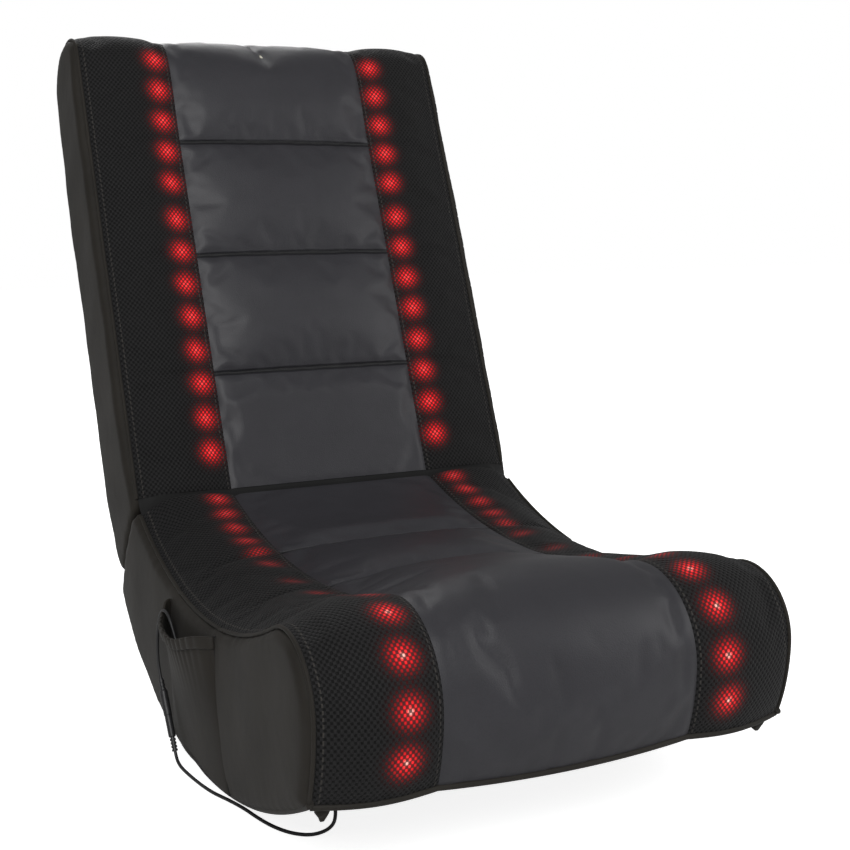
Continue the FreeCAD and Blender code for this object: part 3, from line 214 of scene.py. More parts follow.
def cloth_place(tree):
    """Where a point lies on the cloth as cut: across the chair and along the profile, in metres."""
    apart = add_node(tree, "ShaderNodeSeparateXYZ",
                     Vector=add_node(tree, "ShaderNodeUVMap", {"uv_map": "cut"}).outputs["UV"])
    return apart.outputs["X"], apart.outputs["Y"]


def leather(name, rows):
    """Pebbled leather with a tight fold and painted shade along each sewn row, given in metres of cut
    cloth.
    """
    finish, tree, shader, place = new_finish(name, roughness=0.46, Specular_IOR_Level=0.4)
    pebbles = add_node(tree, "ShaderNodeTexVoronoi", {"feature": "F1"}, Vector=place, Scale=900.0)
    patches = grain(tree, place, 26.0, 3.0)
    tone = sums(tree, "ADD", sums(tree, "MULTIPLY", pebbles.outputs["Distance"], 0.35),
                sums(tree, "MULTIPLY", patches, 0.6))
    colour = shades(tree, tone, (0.2, (0.041, 0.040, 0.046)), (0.8, (0.029, 0.0285, 0.033)))
    gloss = add_node(tree, "ShaderNodeMapRange", Value=patches, To_Min=0.40, To_Max=0.52)
    tree.links.new(gloss.outputs["Result"], shader.inputs["Roughness"])
    creases = relief(tree, grain(tree, place, 70.0, 4.0), 0.14, 0.0012)
    across, along = cloth_place(tree)
    drift = sums(tree, "MULTIPLY", sums(tree, "SUBTRACT", grain(tree, place, 40.0), 0.5), 0.0012)
    fold = 0.0
    for row in rows:
        off = sums(tree, "ABSOLUTE", sums(tree, "ADD", sums(tree, "SUBTRACT", along, row), drift))
        near = add_node(tree, "ShaderNodeMapRange", {"interpolation_type": "SMOOTHSTEP"}, Value=off,
                        From_Min=0.0006, From_Max=0.0034, To_Min=1.0, To_Max=0.0).outputs["Result"]
        fold = sums(tree, "MAXIMUM", fold, near)
    # Painted shade: along each sewn row the colour is mixed towards near black, where the fold lies in
    # shade.
    painted_fold_shade = add_node(tree, "ShaderNodeMix", {"data_type": "RGBA"}, Factor=fold)
    tree.links.new(colour, painted_fold_shade.inputs["A"])
    painted_fold_shade.inputs["B"].default_value = (0.008, 0.008, 0.009, 1.0)
    tree.links.new(painted_fold_shade.outputs["Result"], shader.inputs["Base Color"])
    sunk = relief(tree, sums(tree, "SUBTRACT", 1.0, fold), 0.7, 0.002, creases)
    fine = relief(tree, pebbles.outputs["Distance"], 0.35, 0.0003, sunk)
    tree.links.new(fine, shader.inputs["Normal"])
    return finish


seat_leather = leather("seat_leather", SEAT_FOLDS)
back_leather = leather("back_leather", BACK_FOLDS)
print("leather:", len(seat_leather.node_tree.nodes), "and", len(back_leather.node_tree.nodes), "nodes")

# %% [markdown]
# Air mesh is two knitted faces held apart by springy threads. What the eye sees is a lattice of
# small diamond holes. Real holes would take millions of faces, so two crossed waves on the cut
# cloth's own coordinates draw them, with painted shade: each hole is coloured darkest, as the inside
# of the mesh would be in shade. The lamps below shine red through those holes, strongest right over
# each lamp. Rows of stitches run beside both seams of a strip.

# %% Air mesh with lamps under it
MESH_PITCH = 0.0046
MESH_STRETCH = 0.84
LAMP_SPREAD = 0.0092
LAMP_CORE = LAMP_SPREAD * 0.36
STITCHED_AT = (0.1155, 0.2035)
STITCH_PITCH = 0.0056


def stitch_rows(tree, across, along, rows, pitch, share=0.62, wide=0.0006):
    """A mask that is 1 on the threads of straight rows of stitches."""
    beat = sums(tree, "FRACT", sums(tree, "DIVIDE", along, pitch))
    on_thread = sums(tree, "LESS_THAN", beat, share)
    total = 0.0
    for row in rows:
        off = sums(tree, "ABSOLUTE", sums(tree, "SUBTRACT", sums(tree, "ABSOLUTE", across), row))
        total = sums(tree, "MAXIMUM", total, sums(tree, "LESS_THAN", off, wide))
    return sums(tree, "MULTIPLY", total, on_thread)


def air_mesh(name, lamps, power, hot):
    """Black mesh over a row of lamps, each given across, along and by its brightness."""
    finish, tree, shader, place = new_finish(name, roughness=0.7, Sheen_Weight=0.04,
                                             Sheen_Roughness=0.4, Specular_IOR_Level=0.2)
    across, along = cloth_place(tree)
    turn = 2.0 * math.pi / MESH_PITCH
    wave = sums(tree, "MULTIPLY",
                sums(tree, "COSINE", sums(tree, "MULTIPLY", across, turn)),
                sums(tree, "COSINE", sums(tree, "MULTIPLY", along, turn * MESH_STRETCH)))
    hole = add_node(tree, "ShaderNodeMapRange", Value=wave, From_Min=-0.25,
                    From_Max=0.6).outputs["Result"]
    worn = grain(tree, place, 40.0)
    tone = sums(tree, "ADD", sums(tree, "MULTIPLY", hole, 0.8), sums(tree, "MULTIPLY", worn, 0.2))
    # Painted shade: where hole is high the colour goes to near black, the shade inside each hole; the
    # threads between are a little lighter.
    mesh_colour_with_hole_shade = shades(tree, tone, (0.1, (0.016, 0.0155, 0.016)), (0.9, (0.002, 0.002, 0.002)))
    thread = stitch_rows(tree, across, along, STITCHED_AT, STITCH_PITCH)
    mixed = add_node(tree, "ShaderNodeMix", {"data_type": "RGBA"}, Factor=thread)
    tree.links.new(mesh_colour_with_hole_shade, mixed.inputs["A"])
    mixed.inputs["B"].default_value = (0.050, 0.046, 0.042, 1.0)
    tree.links.new(mixed.outputs["Result"], shader.inputs["Base Color"])
    weave = relief(tree, hole, 0.85, 0.0009)
    weave.node.invert = True
    tree.links.new(relief(tree, thread, 0.8, 0.0006, weave), shader.inputs["Normal"])
    glow = 0.0
    core = 0.0
    for lamp_across, lamp_along, bright in lamps:
        aside = sums(tree, "SUBTRACT", sums(tree, "ABSOLUTE", across), lamp_across)
        ahead = sums(tree, "SUBTRACT", along, lamp_along)
        away = sums(tree, "ADD", sums(tree, "MULTIPLY", aside, aside),
                    sums(tree, "MULTIPLY", ahead, ahead))
        near = sums(tree, "EXPONENT", sums(tree, "DIVIDE", away, -LAMP_SPREAD ** 2))
        middle = sums(tree, "EXPONENT", sums(tree, "DIVIDE", away, -LAMP_CORE ** 2))
        glow = sums(tree, "ADD", glow, sums(tree, "MULTIPLY", near, bright))
        core = sums(tree, "ADD", core, sums(tree, "MULTIPLY", middle, bright))
    through = sums(tree, "ADD", 0.10, sums(tree, "MULTIPLY", sums(tree, "POWER", hole, 1.6), 0.90))
    lit = sums(tree, "MULTIPLY", glow, through)
    colour = shades(tree, sums(tree, "MULTIPLY", core, hot), (0.0, (1.0, 0.012, 0.018)),
                    (0.45, (1.0, 0.05, 0.05)), (1.0, (1.0, 0.50, 0.42)))
    tree.links.new(colour, shader.inputs["Emission Color"])
    tree.links.new(sums(tree, "MULTIPLY", lit, power), shader.inputs["Emission Strength"])
    return finish


hole_gap = math.hypot(MESH_PITCH / 2.0, MESH_PITCH / MESH_STRETCH / 2.0)
print("mesh holes:", round(hole_gap * 1000.0, 1), "mm apart")

# %% [markdown]
# The sides, the rear and the pocket are a dull coated cloth, nearly black with a brown cast. Its
# weave is too fine to count at arm's length, so it only breaks up the shine a little. One helper
# makes all the dark cloths, which differ in tone and in the fineness of the weave.

# %% Dark cloths
def dark_cloth(name, light, dark, weave=1500.0, roughness=0.7):
    """Dull woven cloth with faint folds and cloudy wear."""
    finish, tree, shader, place = new_finish(name, roughness=roughness, Sheen_Weight=0.03,
                                             Specular_IOR_Level=0.3)
    patches = grain(tree, place, 18.0, 4.0)
    tree.links.new(shades(tree, patches, (0.3, dark), (0.75, light)), shader.inputs["Base Color"])
    threads = add_node(tree, "ShaderNodeTexVoronoi", Vector=place, Scale=weave).outputs["Distance"]
    folds = relief(tree, grain(tree, place, 34.0, 3.0), 0.3, 0.002)
    tree.links.new(relief(tree, threads, 0.3, 0.0002, folds), shader.inputs["Normal"])
    return finish


side_finish = dark_cloth("side_cloth_finish", (0.0225, 0.0190, 0.0145), (0.0145, 0.0122, 0.0092))
rear_finish = dark_cloth("rear_cloth_finish", (0.0195, 0.0170, 0.0140), (0.0120, 0.0105, 0.0090), 1100.0)
hem_finish = dark_cloth("hem_finish", (0.024, 0.0205, 0.016), (0.0150, 0.0128, 0.0100), 2000.0, 0.62)
lip_finish = dark_cloth("crease_finish", (0.010, 0.010, 0.010), (0.005, 0.005, 0.005))
print("dark cloths:", [cloth.name for cloth in (side_finish, rear_finish, hem_finish, lip_finish)])

# %% [markdown]
# Inside are plywood, hardboard, foam, webbing, steel and a few plastic bits. Most of it only shows
# when the chair is opened up, so one helper makes them all: a colour that drifts with a noise, which
# is stretched into long streaks for wood and brushed steel. Each solid gets its slot's finish.

# %% Finishes of the solids
def hard_finish(name, light, dark, roughness, metallic=0.0, scale=(60.0, 60.0, 60.0), bump=0.15):
    """A plain hard finish whose colour drifts with a stretched noise."""
    finish, tree, shader, place = new_finish(name, roughness=roughness, metallic=metallic)
    stretched = add_node(tree, "ShaderNodeMapping", Vector=place, Scale=scale).outputs["Vector"]
    streaks = grain(tree, stretched, 1.0, 5.0)
    tree.links.new(shades(tree, streaks, (0.3, dark), (0.7, light)), shader.inputs["Base Color"])
    tree.links.new(relief(tree, streaks, bump, 0.0004), shader.inputs["Normal"])
    return finish


finishes = {
    "plywood": hard_finish("plywood_finish", (0.56, 0.38, 0.21), (0.40, 0.25, 0.13), 0.6,
                           scale=(14.0, 90.0, 90.0)),
    "hardboard": hard_finish("hardboard_finish", (0.24, 0.13, 0.06), (0.15, 0.08, 0.04), 0.55),
    "foam": hard_finish("foam_finish", (0.78, 0.74, 0.60), (0.66, 0.61, 0.47), 0.9,
                        scale=(700.0, 700.0, 700.0), bump=0.6),
    "webbing": hard_finish("webbing_finish", (0.36, 0.27, 0.17), (0.22, 0.16, 0.10), 0.8,
                           scale=(500.0, 900.0, 900.0), bump=0.5),
    "zinc_steel": hard_finish("zinc_finish", (0.62, 0.62, 0.60), (0.46, 0.46, 0.44), 0.35, 1.0,
                              scale=(300.0, 40.0, 40.0)),
    "pin_steel": hard_finish("pin_finish", (0.60, 0.60, 0.60), (0.48, 0.48, 0.48), 0.25, 1.0),
    "screw_steel": hard_finish("screw_finish", (0.60, 0.56, 0.44), (0.44, 0.41, 0.32), 0.3, 1.0),
    "plug_steel": hard_finish("plug_shell_finish", (0.66, 0.66, 0.66), (0.52, 0.52, 0.52), 0.25, 1.0),
    "light_strip": hard_finish("light_strip_finish", (0.20, 0.02, 0.015), (0.12, 0.012, 0.01), 0.5),
    "grommet_rubber": hard_finish("grommet_finish", (0.022, 0.022, 0.022), (0.012, 0.012, 0.012), 0.7),
    "connector_plastic": hard_finish("connector_finish", (0.026, 0.026, 0.028), (0.014, 0.014, 0.015),
                                     0.42, scale=(900.0, 900.0, 900.0), bump=0.2),
    "lead_jacket": hard_finish("lead_finish", (0.024, 0.024, 0.025), (0.012, 0.012, 0.013), 0.5),
    "side_cloth": side_finish, "elastic_hem": hem_finish, "base_cloth": rear_finish,
    "quilted_leather": back_leather, "spacer_mesh": rear_finish,
}
for part in frame["record"]["subparts"]:
    solid = nodes[part["node"]]
    solid.data.materials.clear()
    solid.data.materials.append(finishes[part["material_slot"]])
for lead in (lamp_lead, supply_lead):
    lead.data.materials.append(finishes["lead_jacket"])
print("finishes:", len(finishes))

# %% [markdown]
# The seat is a long hollow that ends in a round front roll. It could be sculpted, but a cover is
# easiest to shape from its side view. Two curves describe it: the line down the middle panel and the
# lower line down the outer seam. Both are drawn here with the same few arcs as the solids, cut at
# the same rows, so that a row of cloth runs straight across the chair.

# %% Side view of the seat
def arc_points(centre, radius, start, end, count):
    """Points on an arc in the side view, by angle in radians."""
    turns = np.linspace(start, end, count)
    return np.stack([centre[0] + radius * np.cos(turns), centre[1] + radius * np.sin(turns)], 1)


SEAT_MID = -31.0
FRONT_RADIUS = 170.0
FRONT_LOW = 79.5
SEAT_ROWS = (27.0, -98.0)
CREASE_Y = 166.0
SEAT_COUNTS = (29, 26, 27, 22, 20)
SEAT_SEWN = (28, 53)


def seat_line(low, radius, roll_y, roll):
    """The seat's face from the crease over the front roll to the front's lower edge."""
    centre = (SEAT_MID, low + radius)
    roll_z = centre[1] - math.sqrt((radius + roll) ** 2 - (roll_y - SEAT_MID) ** 2)
    meet = math.atan2(roll_z - centre[1], roll_y - SEAT_MID)
    bounds = [math.atan2(-math.sqrt(radius ** 2 - (y - SEAT_MID) ** 2), y - SEAT_MID)
              for y in (CREASE_Y,) + SEAT_ROWS]
    bounds.append(meet)
    runs = [arc_points(centre, radius, start, end, count)
            for start, end, count in zip(bounds, bounds[1:], SEAT_COUNTS)]
    runs.append(arc_points((roll_y, roll_z), roll, meet + math.pi, math.pi, SEAT_COUNTS[3]))
    front = (roll_y - roll + FRONT_RADIUS, roll_z)
    drop = math.asin((roll_z - FRONT_LOW) / FRONT_RADIUS)
    runs.append(arc_points(front, FRONT_RADIUS, math.pi, math.pi + drop, SEAT_COUNTS[4]))
    return np.concatenate([runs[0]] + [run[1:] for run in runs[1:]])


seat_middle_line = seat_line(low=175.0, radius=678.0, roll_y=-253.0, roll=70.0)
seat_outer_line = seat_line(low=147.0, radius=471.0, roll_y=-261.0, roll=55.0)
print("seat line:", len(seat_middle_line), "points, front edge", seat_middle_line[-1].round(1))

# %% [markdown]
# The back is drawn upright, in its own depth and its height along the face, and only then leaned
# back about the hinge. Its straight lines stay easy to read that way, and a change of the lean moves
# all of them. The shoulder is smoothed, where the flat face turns into the round top.

# %% Side view of the back
HINGE = (173.0, 203.0)
LEAN = math.radians(23.7)
BACK_DEPTH = 116.0
BACK_ROWS = (131.0, 264.0, 396.0)
TOP_CENTRE = (58.0, 467.2)
TOP_RADIUS = 69.8
SHOULDER = 506.0
BACK_START = 6.0
BACK_COUNTS = (28, 29, 29, 22, 28)
BACK_SEWN = (27, 55, 83)
SHOULDER_ROUNDS = 9


def back_place(depth, along):
    """From the back's own depth and height along its face to the chair's side view."""
    return np.stack([HINGE[0] + depth * math.cos(LEAN) + along * math.sin(LEAN),
                     HINGE[1] - depth * math.sin(LEAN) + along * math.cos(LEAN)], -1)


def back_line(face):
    """The back's face from the crease up and over the round top."""
    marks = (BACK_START,) + BACK_ROWS + (SHOULDER - 16.0,)
    runs = [np.stack([np.full(count, face), np.linspace(start, end, count)], 1)
            for start, end, count in zip(marks, marks[1:], BACK_COUNTS)]
    rise = SHOULDER - TOP_CENTRE[1]
    over = arc_points(TOP_CENTRE, TOP_RADIUS, math.atan2(rise, face - TOP_CENTRE[0]),
                      math.atan2(rise, TOP_CENTRE[0]), BACK_COUNTS[4])
    line = np.concatenate([runs[0]] + [run[1:] for run in runs[1:]] + [over])
    rounded = line.copy()
    for _ in range(SHOULDER_ROUNDS):
        rounded[1:-1] = (rounded[:-2] + 2.0 * rounded[1:-1] + rounded[2:]) / 4.0
    kept = np.clip((line[:, 1] - (SHOULDER - 60.0)) / 30.0, 0.0, 1.0)[:, None]
    line = line * (1.0 - kept) + rounded * kept
    return back_place(line[:, 0], line[:, 1])


back_middle_line = back_line(face=0.0)
back_outer_line = back_line(face=8.0)
print("back line:", len(back_middle_line), "points, top", back_middle_line[:, 1].max().round(1))

# %% [markdown]
# Each cover is one grid of cloth: 85 columns across, about 5 mm apart, and a row about every 5 mm.
# Separate cloths could be modelled at once, but one grid keeps the seams closed. It also keeps the
# flat place of every point, as cut, for the mesh and the stitches. Near the crease the strips lie
# level with the middle, so that seat and back meet in one line.

# %% Grids of cloth
INNER_SEAM = 112.0
OUTER_SEAM = 209.0
LEVEL_NEAR_CREASE = 26.0
CROWN_STARTS = 130.0
STRIP_CROWN = 5.0


def across_places():
    """Where the columns lie, from the right outer seam to the left, with one on each inner seam."""
    middle = np.linspace(-INNER_SEAM, INNER_SEAM, 45)
    strip = np.linspace(INNER_SEAM, OUTER_SEAM, 21)[1:]
    return np.concatenate([-strip[::-1], middle, strip])


COLUMNS = across_places()
SEAM_COLUMNS = [int(np.argmin(abs(COLUMNS - place))) for place in (-INNER_SEAM, INNER_SEAM)]
print("columns:", len(COLUMNS), "inner seams at columns", SEAM_COLUMNS)


def normals_of(line):
    """The way out of the chair, square to a line in the side view."""
    along = np.gradient(line, axis=0)
    along /= np.linalg.norm(along, axis=1)[:, None]
    return np.stack([along[:, 1], -along[:, 0]], 1)


def run_of(line):
    """Length along a line up to each of its points."""
    return np.concatenate([[0.0], np.cumsum(np.linalg.norm(np.diff(line, axis=0), axis=1))])


def lay_grid(middle_line, outer_line, outward, crown, shoulder_drop):
    """Points of a cover before it is stuffed: middle panel between the seams, strips falling away."""
    out_middle, out_side = outward * normals_of(middle_line), outward * normals_of(outer_line)
    points = np.zeros((len(COLUMNS), len(middle_line), 3))
    near_crease = np.exp(-(run_of(middle_line) / LEVEL_NEAR_CREASE) ** 2)[:, None]
    fold_room = np.exp(-(run_of(middle_line) / CROWN_STARTS) ** 2)[:, None]
    for column, x in enumerate(COLUMNS):
        if abs(x) <= INNER_SEAM:
            rise = crown * (1.0 - (x / INNER_SEAM) ** 2) * (1.0 - fold_room)
            side = middle_line + out_middle * rise
        else:
            share = (abs(x) - INNER_SEAM) / (OUTER_SEAM - INNER_SEAM)
            fall = 0.45 * share + 0.55 * share ** shoulder_drop
            fall = fall * (1.0 - near_crease) + share ** 7 * near_crease
            side = middle_line * (1.0 - fall) + outer_line * fall
            out = out_middle * (1.0 - fall) + out_side * fall
            side = side + out * STRIP_CROWN * math.sin(math.pi * share)
        points[column, :, 0] = x
        points[column, :, 1:] = side
    return points * MM


# %% [markdown]
# Blender's mesh tools could add a grid and bend it, but here the points are known, so the mesh is
# made straight from them: each point once, and four neighbours to a face. The cloth's flat place
# goes into a UV layer named cut, and one level of subdivision rounds the faces off.

# %% A piece from a grid
def grid_piece(name, points, across, along, finish=None, flip=False):
    """A piece from a grid of points, with the cut cloth's own coordinates in metres."""
    wide, long = points.shape[:2]
    index = np.arange(wide * long).reshape(wide, long)
    quads = np.stack([index[:-1, :-1], index[1:, :-1], index[1:, 1:], index[:-1, 1:]], -1)
    quads = quads.reshape(-1, 4)[:, ::-1] if flip else quads.reshape(-1, 4)
    data = bpy.data.meshes.new(name)
    data.from_pydata(points.reshape(-1, 3).tolist(), [], quads.tolist())
    cut = np.stack(np.meshgrid(across, along, indexing="ij"), -1)
    layer = data.uv_layers.new(name="cut")
    corners = np.zeros(len(data.loops), np.int32)
    data.loops.foreach_get("vertex_index", corners)
    layer.data.foreach_set("uv", cut.reshape(-1, 2)[corners].ravel())
    data.polygons.foreach_set("use_smooth", [True] * len(data.polygons))
    if finish:
        data.materials.append(finish)
    made = bpy.data.objects.new(name, data)
    bpy.context.scene.collection.objects.link(made)
    return made


def round_off(piece):
    """One level of subdivision, kept sharp at the corners."""
    finer = piece.modifiers.new("finer", "SUBSURF")
    finer.levels = finer.render_levels = 1
    finer.boundary_smooth = "PRESERVE_CORNERS"
    return piece


print("grid helpers: grid_piece, round_off")

# %% [markdown]
# Foam pushes the cover out and the sewn rows hold it in. Crowns and pulls could be drawn with sums,
# but they look drawn. Blender's cloth does what the foam does: the seams are pinned, pressure stands
# for the foam, and the cloth is cut a little larger than its place, so the spare length turns into
# crowns and small pulls beside each seam. A limit on each point's way keeps the chair's size.

# %% Stuffing a cover
SPARE_CLOTH = 0.013
FOAM_PRESSURE = 5.0
STUFFING_FRAMES = 22


def stuff(piece, points, pinned, most):
    """Inflate a pinned grid; returns the points, moved no further than each point may."""
    group = piece.vertex_groups.new(name="sewn")
    group.add(np.flatnonzero(pinned.reshape(-1)).tolist(), 1.0, "REPLACE")
    cloth = piece.modifiers.new("stuffing", "CLOTH")
    setup = cloth.settings
    setup.quality = 6
    setup.mass = 0.25
    setup.tension_stiffness = 40.0
    setup.compression_stiffness = 40.0
    setup.shear_stiffness = 12.0
    setup.bending_stiffness = 2.5
    setup.shrink_min = -SPARE_CLOTH
    setup.use_pressure = True
    setup.uniform_pressure_force = FOAM_PRESSURE
    setup.vertex_group_mass = "sewn"
    setup.effector_weights.gravity = 0.0
    setup.air_damping = 4.0
    cloth.point_cache.frame_start, cloth.point_cache.frame_end = 1, STUFFING_FRAMES
    scene = bpy.context.scene
    for step in range(1, STUFFING_FRAMES + 1):
        scene.frame_set(step)
    graph = bpy.context.evaluated_depsgraph_get()
    shaped = piece.evaluated_get(graph).to_mesh()
    moved = np.array([corner.co for corner in shaped.vertices]).reshape(points.shape)
    piece.evaluated_get(graph).to_mesh_clear()
    piece.modifiers.remove(cloth)
    scene.frame_set(1)
    way = moved - points
    long = np.linalg.norm(way, axis=2)
    factor = np.minimum(1.0, most / np.maximum(long, 1e-9))
    print(piece.name, "swells", (long.max() * 1000).round(1), "mm, kept under",
          (np.max(most) * 1000).round(1))
    return points + way * factor[..., None]


def smooth_step(amount):
    """From 0 to 1 with soft ends."""
    amount = np.clip(amount, 0.0, 1.0)
    return amount * amount * (3.0 - 2.0 * amount)


def swell_room(run, start):
    """How far the cloth may swell at each row, in metres: hardly at the crease, then freely."""
    return 0.012 * smooth_step((run - start) / 0.20)[None, :] + 0.001


# %% [markdown]
# The seat's cover is sewn down in two rows. Sharp channels are easy to cut, but on the real seat the
# rows are soft pulls, so they start only a few millimetres below the face and the stuffing does the
# rest. The inner seams sink a little too, save on the front roll, where the cloth is tight.

# %% The seat's cover
ROW_DEPTH, SEAM_DEPTH, STRIP_DEPTH = 4.2, 2.2, 1.2
TIGHT_END = 185.0
TIGHT_FADE = 40.0
SEAT_TUCKED = 0.005


def sewn_points(shape, sewn_rows):
    """Where the cover is held: its edges, its inner seams, and the sewn rows in the middle panel."""
    held = np.zeros(shape[:2])
    for row in sewn_rows:
        held[SEAM_COLUMNS[0]:SEAM_COLUMNS[1] + 1, row] = 1.0
    for column in SEAM_COLUMNS:
        held[column, :] = 1.0
    held[[0, -1], :] = 1.0
    held[:, [0, -1]] = 1.0
    return held


def sink_seams(points, line, outward, sewn_rows):
    """Pull the sewn rows and inner seams in from the face by their own depths."""
    out = outward * normals_of(line) * MM
    for row in sewn_rows:
        inside = slice(SEAM_COLUMNS[0] + 1, SEAM_COLUMNS[1])
        points[inside, row, 1:] -= out[row] * ROW_DEPTH
        points[:SEAM_COLUMNS[0], row, 1:] -= out[row] * STRIP_DEPTH
        points[SEAM_COLUMNS[1] + 1:, row, 1:] -= out[row] * STRIP_DEPTH
    shallow = np.clip((run_of(line)[-1] - run_of(line) - TIGHT_END) / TIGHT_FADE, 0.0, 1.0)[:, None]
    for column in SEAM_COLUMNS:
        points[column, :, 1:] -= out * SEAM_DEPTH * shallow
    return points


seat_points = lay_grid(seat_middle_line, seat_outer_line, 1.0, crown=7.0, shoulder_drop=2.2)
seat_points = sink_seams(seat_points, seat_middle_line, 1.0, SEAT_SEWN)
seat_run = run_of(seat_middle_line) * MM + SEAT_TUCKED
seat_sheet = grid_piece("seat_sheet", seat_points, COLUMNS * MM, seat_run, flip=True)
seat_stuffed = stuff(seat_sheet, seat_points, sewn_points(seat_points.shape, SEAT_SEWN),
                     swell_room(seat_run, start=0.03))

# %% [markdown]
# The back's cover is made the same way, with three rows that pull straight across. The cloth over
# the round top is left plain. Cloth that is tucked into the crease counts in the cut length, so the
# run starts a few millimetres in.

# %% The back's cover
BACK_TUCKED = 0.002
back_points = lay_grid(back_middle_line, back_outer_line, -1.0, crown=4.0, shoulder_drop=2.4)
back_points = sink_seams(back_points, back_middle_line, -1.0, BACK_SEWN)
back_run = run_of(back_middle_line) * MM + BACK_TUCKED
back_sheet = grid_piece("back_sheet", back_points, COLUMNS * MM, back_run)
back_stuffed = stuff(back_sheet, back_points, sewn_points(back_points.shape, BACK_SEWN),
                     swell_room(back_run, start=0.02))

# %% [markdown]
# A real cover is three cloths sewn side by side. One mesh with three materials would look the same,
# but a person who reuses the chair wants to swap a single cloth. So the stuffed sheet is cut at the
# inner seams: leather in the middle and mesh to both sides, each with the edge that it shares. The
# lamps are listed by their place on the cut cloth, and by how bright each one shines through.

# %% Cut the covers into their cloths
on_right = slice(0, SEAM_COLUMNS[0] + 1)
on_middle = slice(SEAM_COLUMNS[0], SEAM_COLUMNS[1] + 1)
on_left = slice(SEAM_COLUMNS[1], len(COLUMNS))
BACK_LAMPS = [(0.129, 0.042 + 0.037 * step, 1.0) for step in range(8)] \
    + [(0.129, 0.343 + 0.0362 * step, 1.0) for step in range(5)]
SEAT_LAMPS = [(0.134, 0.018, 0.55), (0.135, 0.048, 0.5), (0.135, 0.080, 0.42), (0.134, 0.112, 0.36),
              (0.133, 0.142, 0.3), (0.133, 0.176, 0.2), (0.133, 0.240, 0.12), (0.133, 0.302, 0.15),
              (0.133, 0.362, 0.14), (0.134, 0.415, 0.3), (0.136, 0.454, 0.9), (0.139, 0.493, 1.0),
              (0.140, 0.532, 1.0), (0.143, 0.569, 0.95)]
back_mesh_finish = air_mesh("back_air_mesh", BACK_LAMPS, power=1.7, hot=0.45)
seat_mesh_finish = air_mesh("seat_air_mesh", SEAT_LAMPS, power=1.7, hot=1.0)
for part, body, points, run, hide, mesh in (
        ("seat", "base", seat_stuffed, seat_run, seat_leather, seat_mesh_finish),
        ("back", "back", back_stuffed, back_run, back_leather, back_mesh_finish)):
    for piece_name, columns, finish, node_name, slot_name in (
            (f"{part}_quilt", on_middle, hide, f"{part}_cover", "quilted_leather"),
            (f"{part}_air_left", on_left, mesh, f"{part}_mesh_left", "spacer_mesh"),
            (f"{part}_air_right", on_right, mesh, f"{part}_mesh_right", "spacer_mesh")):
        cloth = round_off(grid_piece(piece_name, points[columns], COLUMNS[columns] * MM, run, finish,
                                     flip=body == "base"))
        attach(cloth, body)
        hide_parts(node_name)
        print(piece_name, len(cloth.data.polygons), "quads")
for sheet in (seat_sheet, back_sheet):
    bpy.data.objects.remove(sheet)

# %% [markdown]
# Between seat and back the covers dive into a crease. A strip of cloth lines it, sewn to both. It
# could be left out, but then the hinges show when the back folds. It borrows the edge points of both
# covers, arches over the hinge knuckles, and its middle row is blended halfway between them.

# %% Crease cloth
TUCKED_ROWS = ((4, 3.5), (2, 2.5), (0, 1.2))
OVER_KNUCKLES = (170.4, 208.4)
HINGE_SPAN = (128.0, 192.0)


def sunk_row(points, line, outward, row, depth):
    """A row of a cover's points, pushed in below its face."""
    out = outward * normals_of(line)[row] * MM
    return points[:, row] - np.array([0.0, out[0], out[1]]) * depth


low_rows = [sunk_row(seat_stuffed, seat_middle_line, 1.0, row, depth) for row, depth in TUCKED_ROWS]
high_rows = [sunk_row(back_stuffed, back_middle_line, -1.0, row, depth)
             for row, depth in TUCKED_ROWS[::-1]]
dip = (low_rows[-1] + high_rows[0]) / 2.0 - np.array([0.0, -1.0, 1.5]) * MM
over_hinge = (abs(COLUMNS) > HINGE_SPAN[0]) & (abs(COLUMNS) < HINGE_SPAN[1])
dip[over_hinge, 1:] = np.array(OVER_KNUCKLES) * MM
crease_points = np.stack(low_rows + [dip] + high_rows, 1)
crease_run = np.arange(crease_points.shape[1]) * 5.0 * MM
crease_cloth = round_off(grid_piece("crease_cloth", crease_points, COLUMNS * MM, crease_run, lip_finish))
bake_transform(crease_cloth)
print("crease cloth", len(crease_cloth.data.vertices), "points")

# %% [markdown]
# Padded pieces have no sharp edges, but the solids do. Bevels would leave uneven faces, so a copy of
# a solid is melted instead: a voxel remesh gives it small even cells, and smoothing rounds them. A
# few crossed waves, always drawn from the same seed, then give cloth its faint wrinkles.

# %% Melting a solid
def soft_noise(points, size, seed):
    """Smooth wrinkles between -1 and 1 from a few crossed waves."""
    spin = np.random.default_rng(seed)
    total = np.zeros(len(points))
    for _ in range(7):
        way = spin.normal(size=3)
        way *= 2.0 * math.pi / (size * spin.uniform(0.6, 1.6)) / np.linalg.norm(way)
        total += np.sin(points @ way + spin.uniform(0.0, 6.3))
    return total / 4.0


def melt(name, source, cell, rounds):
    """A smooth, evenly meshed copy of a solid, as a new piece in the side cloth."""
    made = bpy.data.objects.new(name, source.data.copy())
    bpy.context.scene.collection.objects.link(made)
    cells = made.modifiers.new("cells", "REMESH")
    cells.mode = "VOXEL"
    cells.voxel_size = cell
    soften = made.modifiers.new("soften", "SMOOTH")
    soften.factor, soften.iterations = 0.5, rounds
    graph = bpy.context.evaluated_depsgraph_get()
    data = bpy.data.meshes.new_from_object(made.evaluated_get(graph))
    made.modifiers.clear()
    made.data = data
    data.materials.clear()
    data.materials.append(side_finish)
    data.polygons.foreach_set("use_smooth", [True] * len(data.polygons))
    return made


def points_of(piece):
    """A mesh's points as rows of numbers."""
    flat = np.zeros(len(piece.data.vertices) * 3, np.float32)
    piece.data.vertices.foreach_get("co", flat)
    return flat.reshape(-1, 3).astype(float)


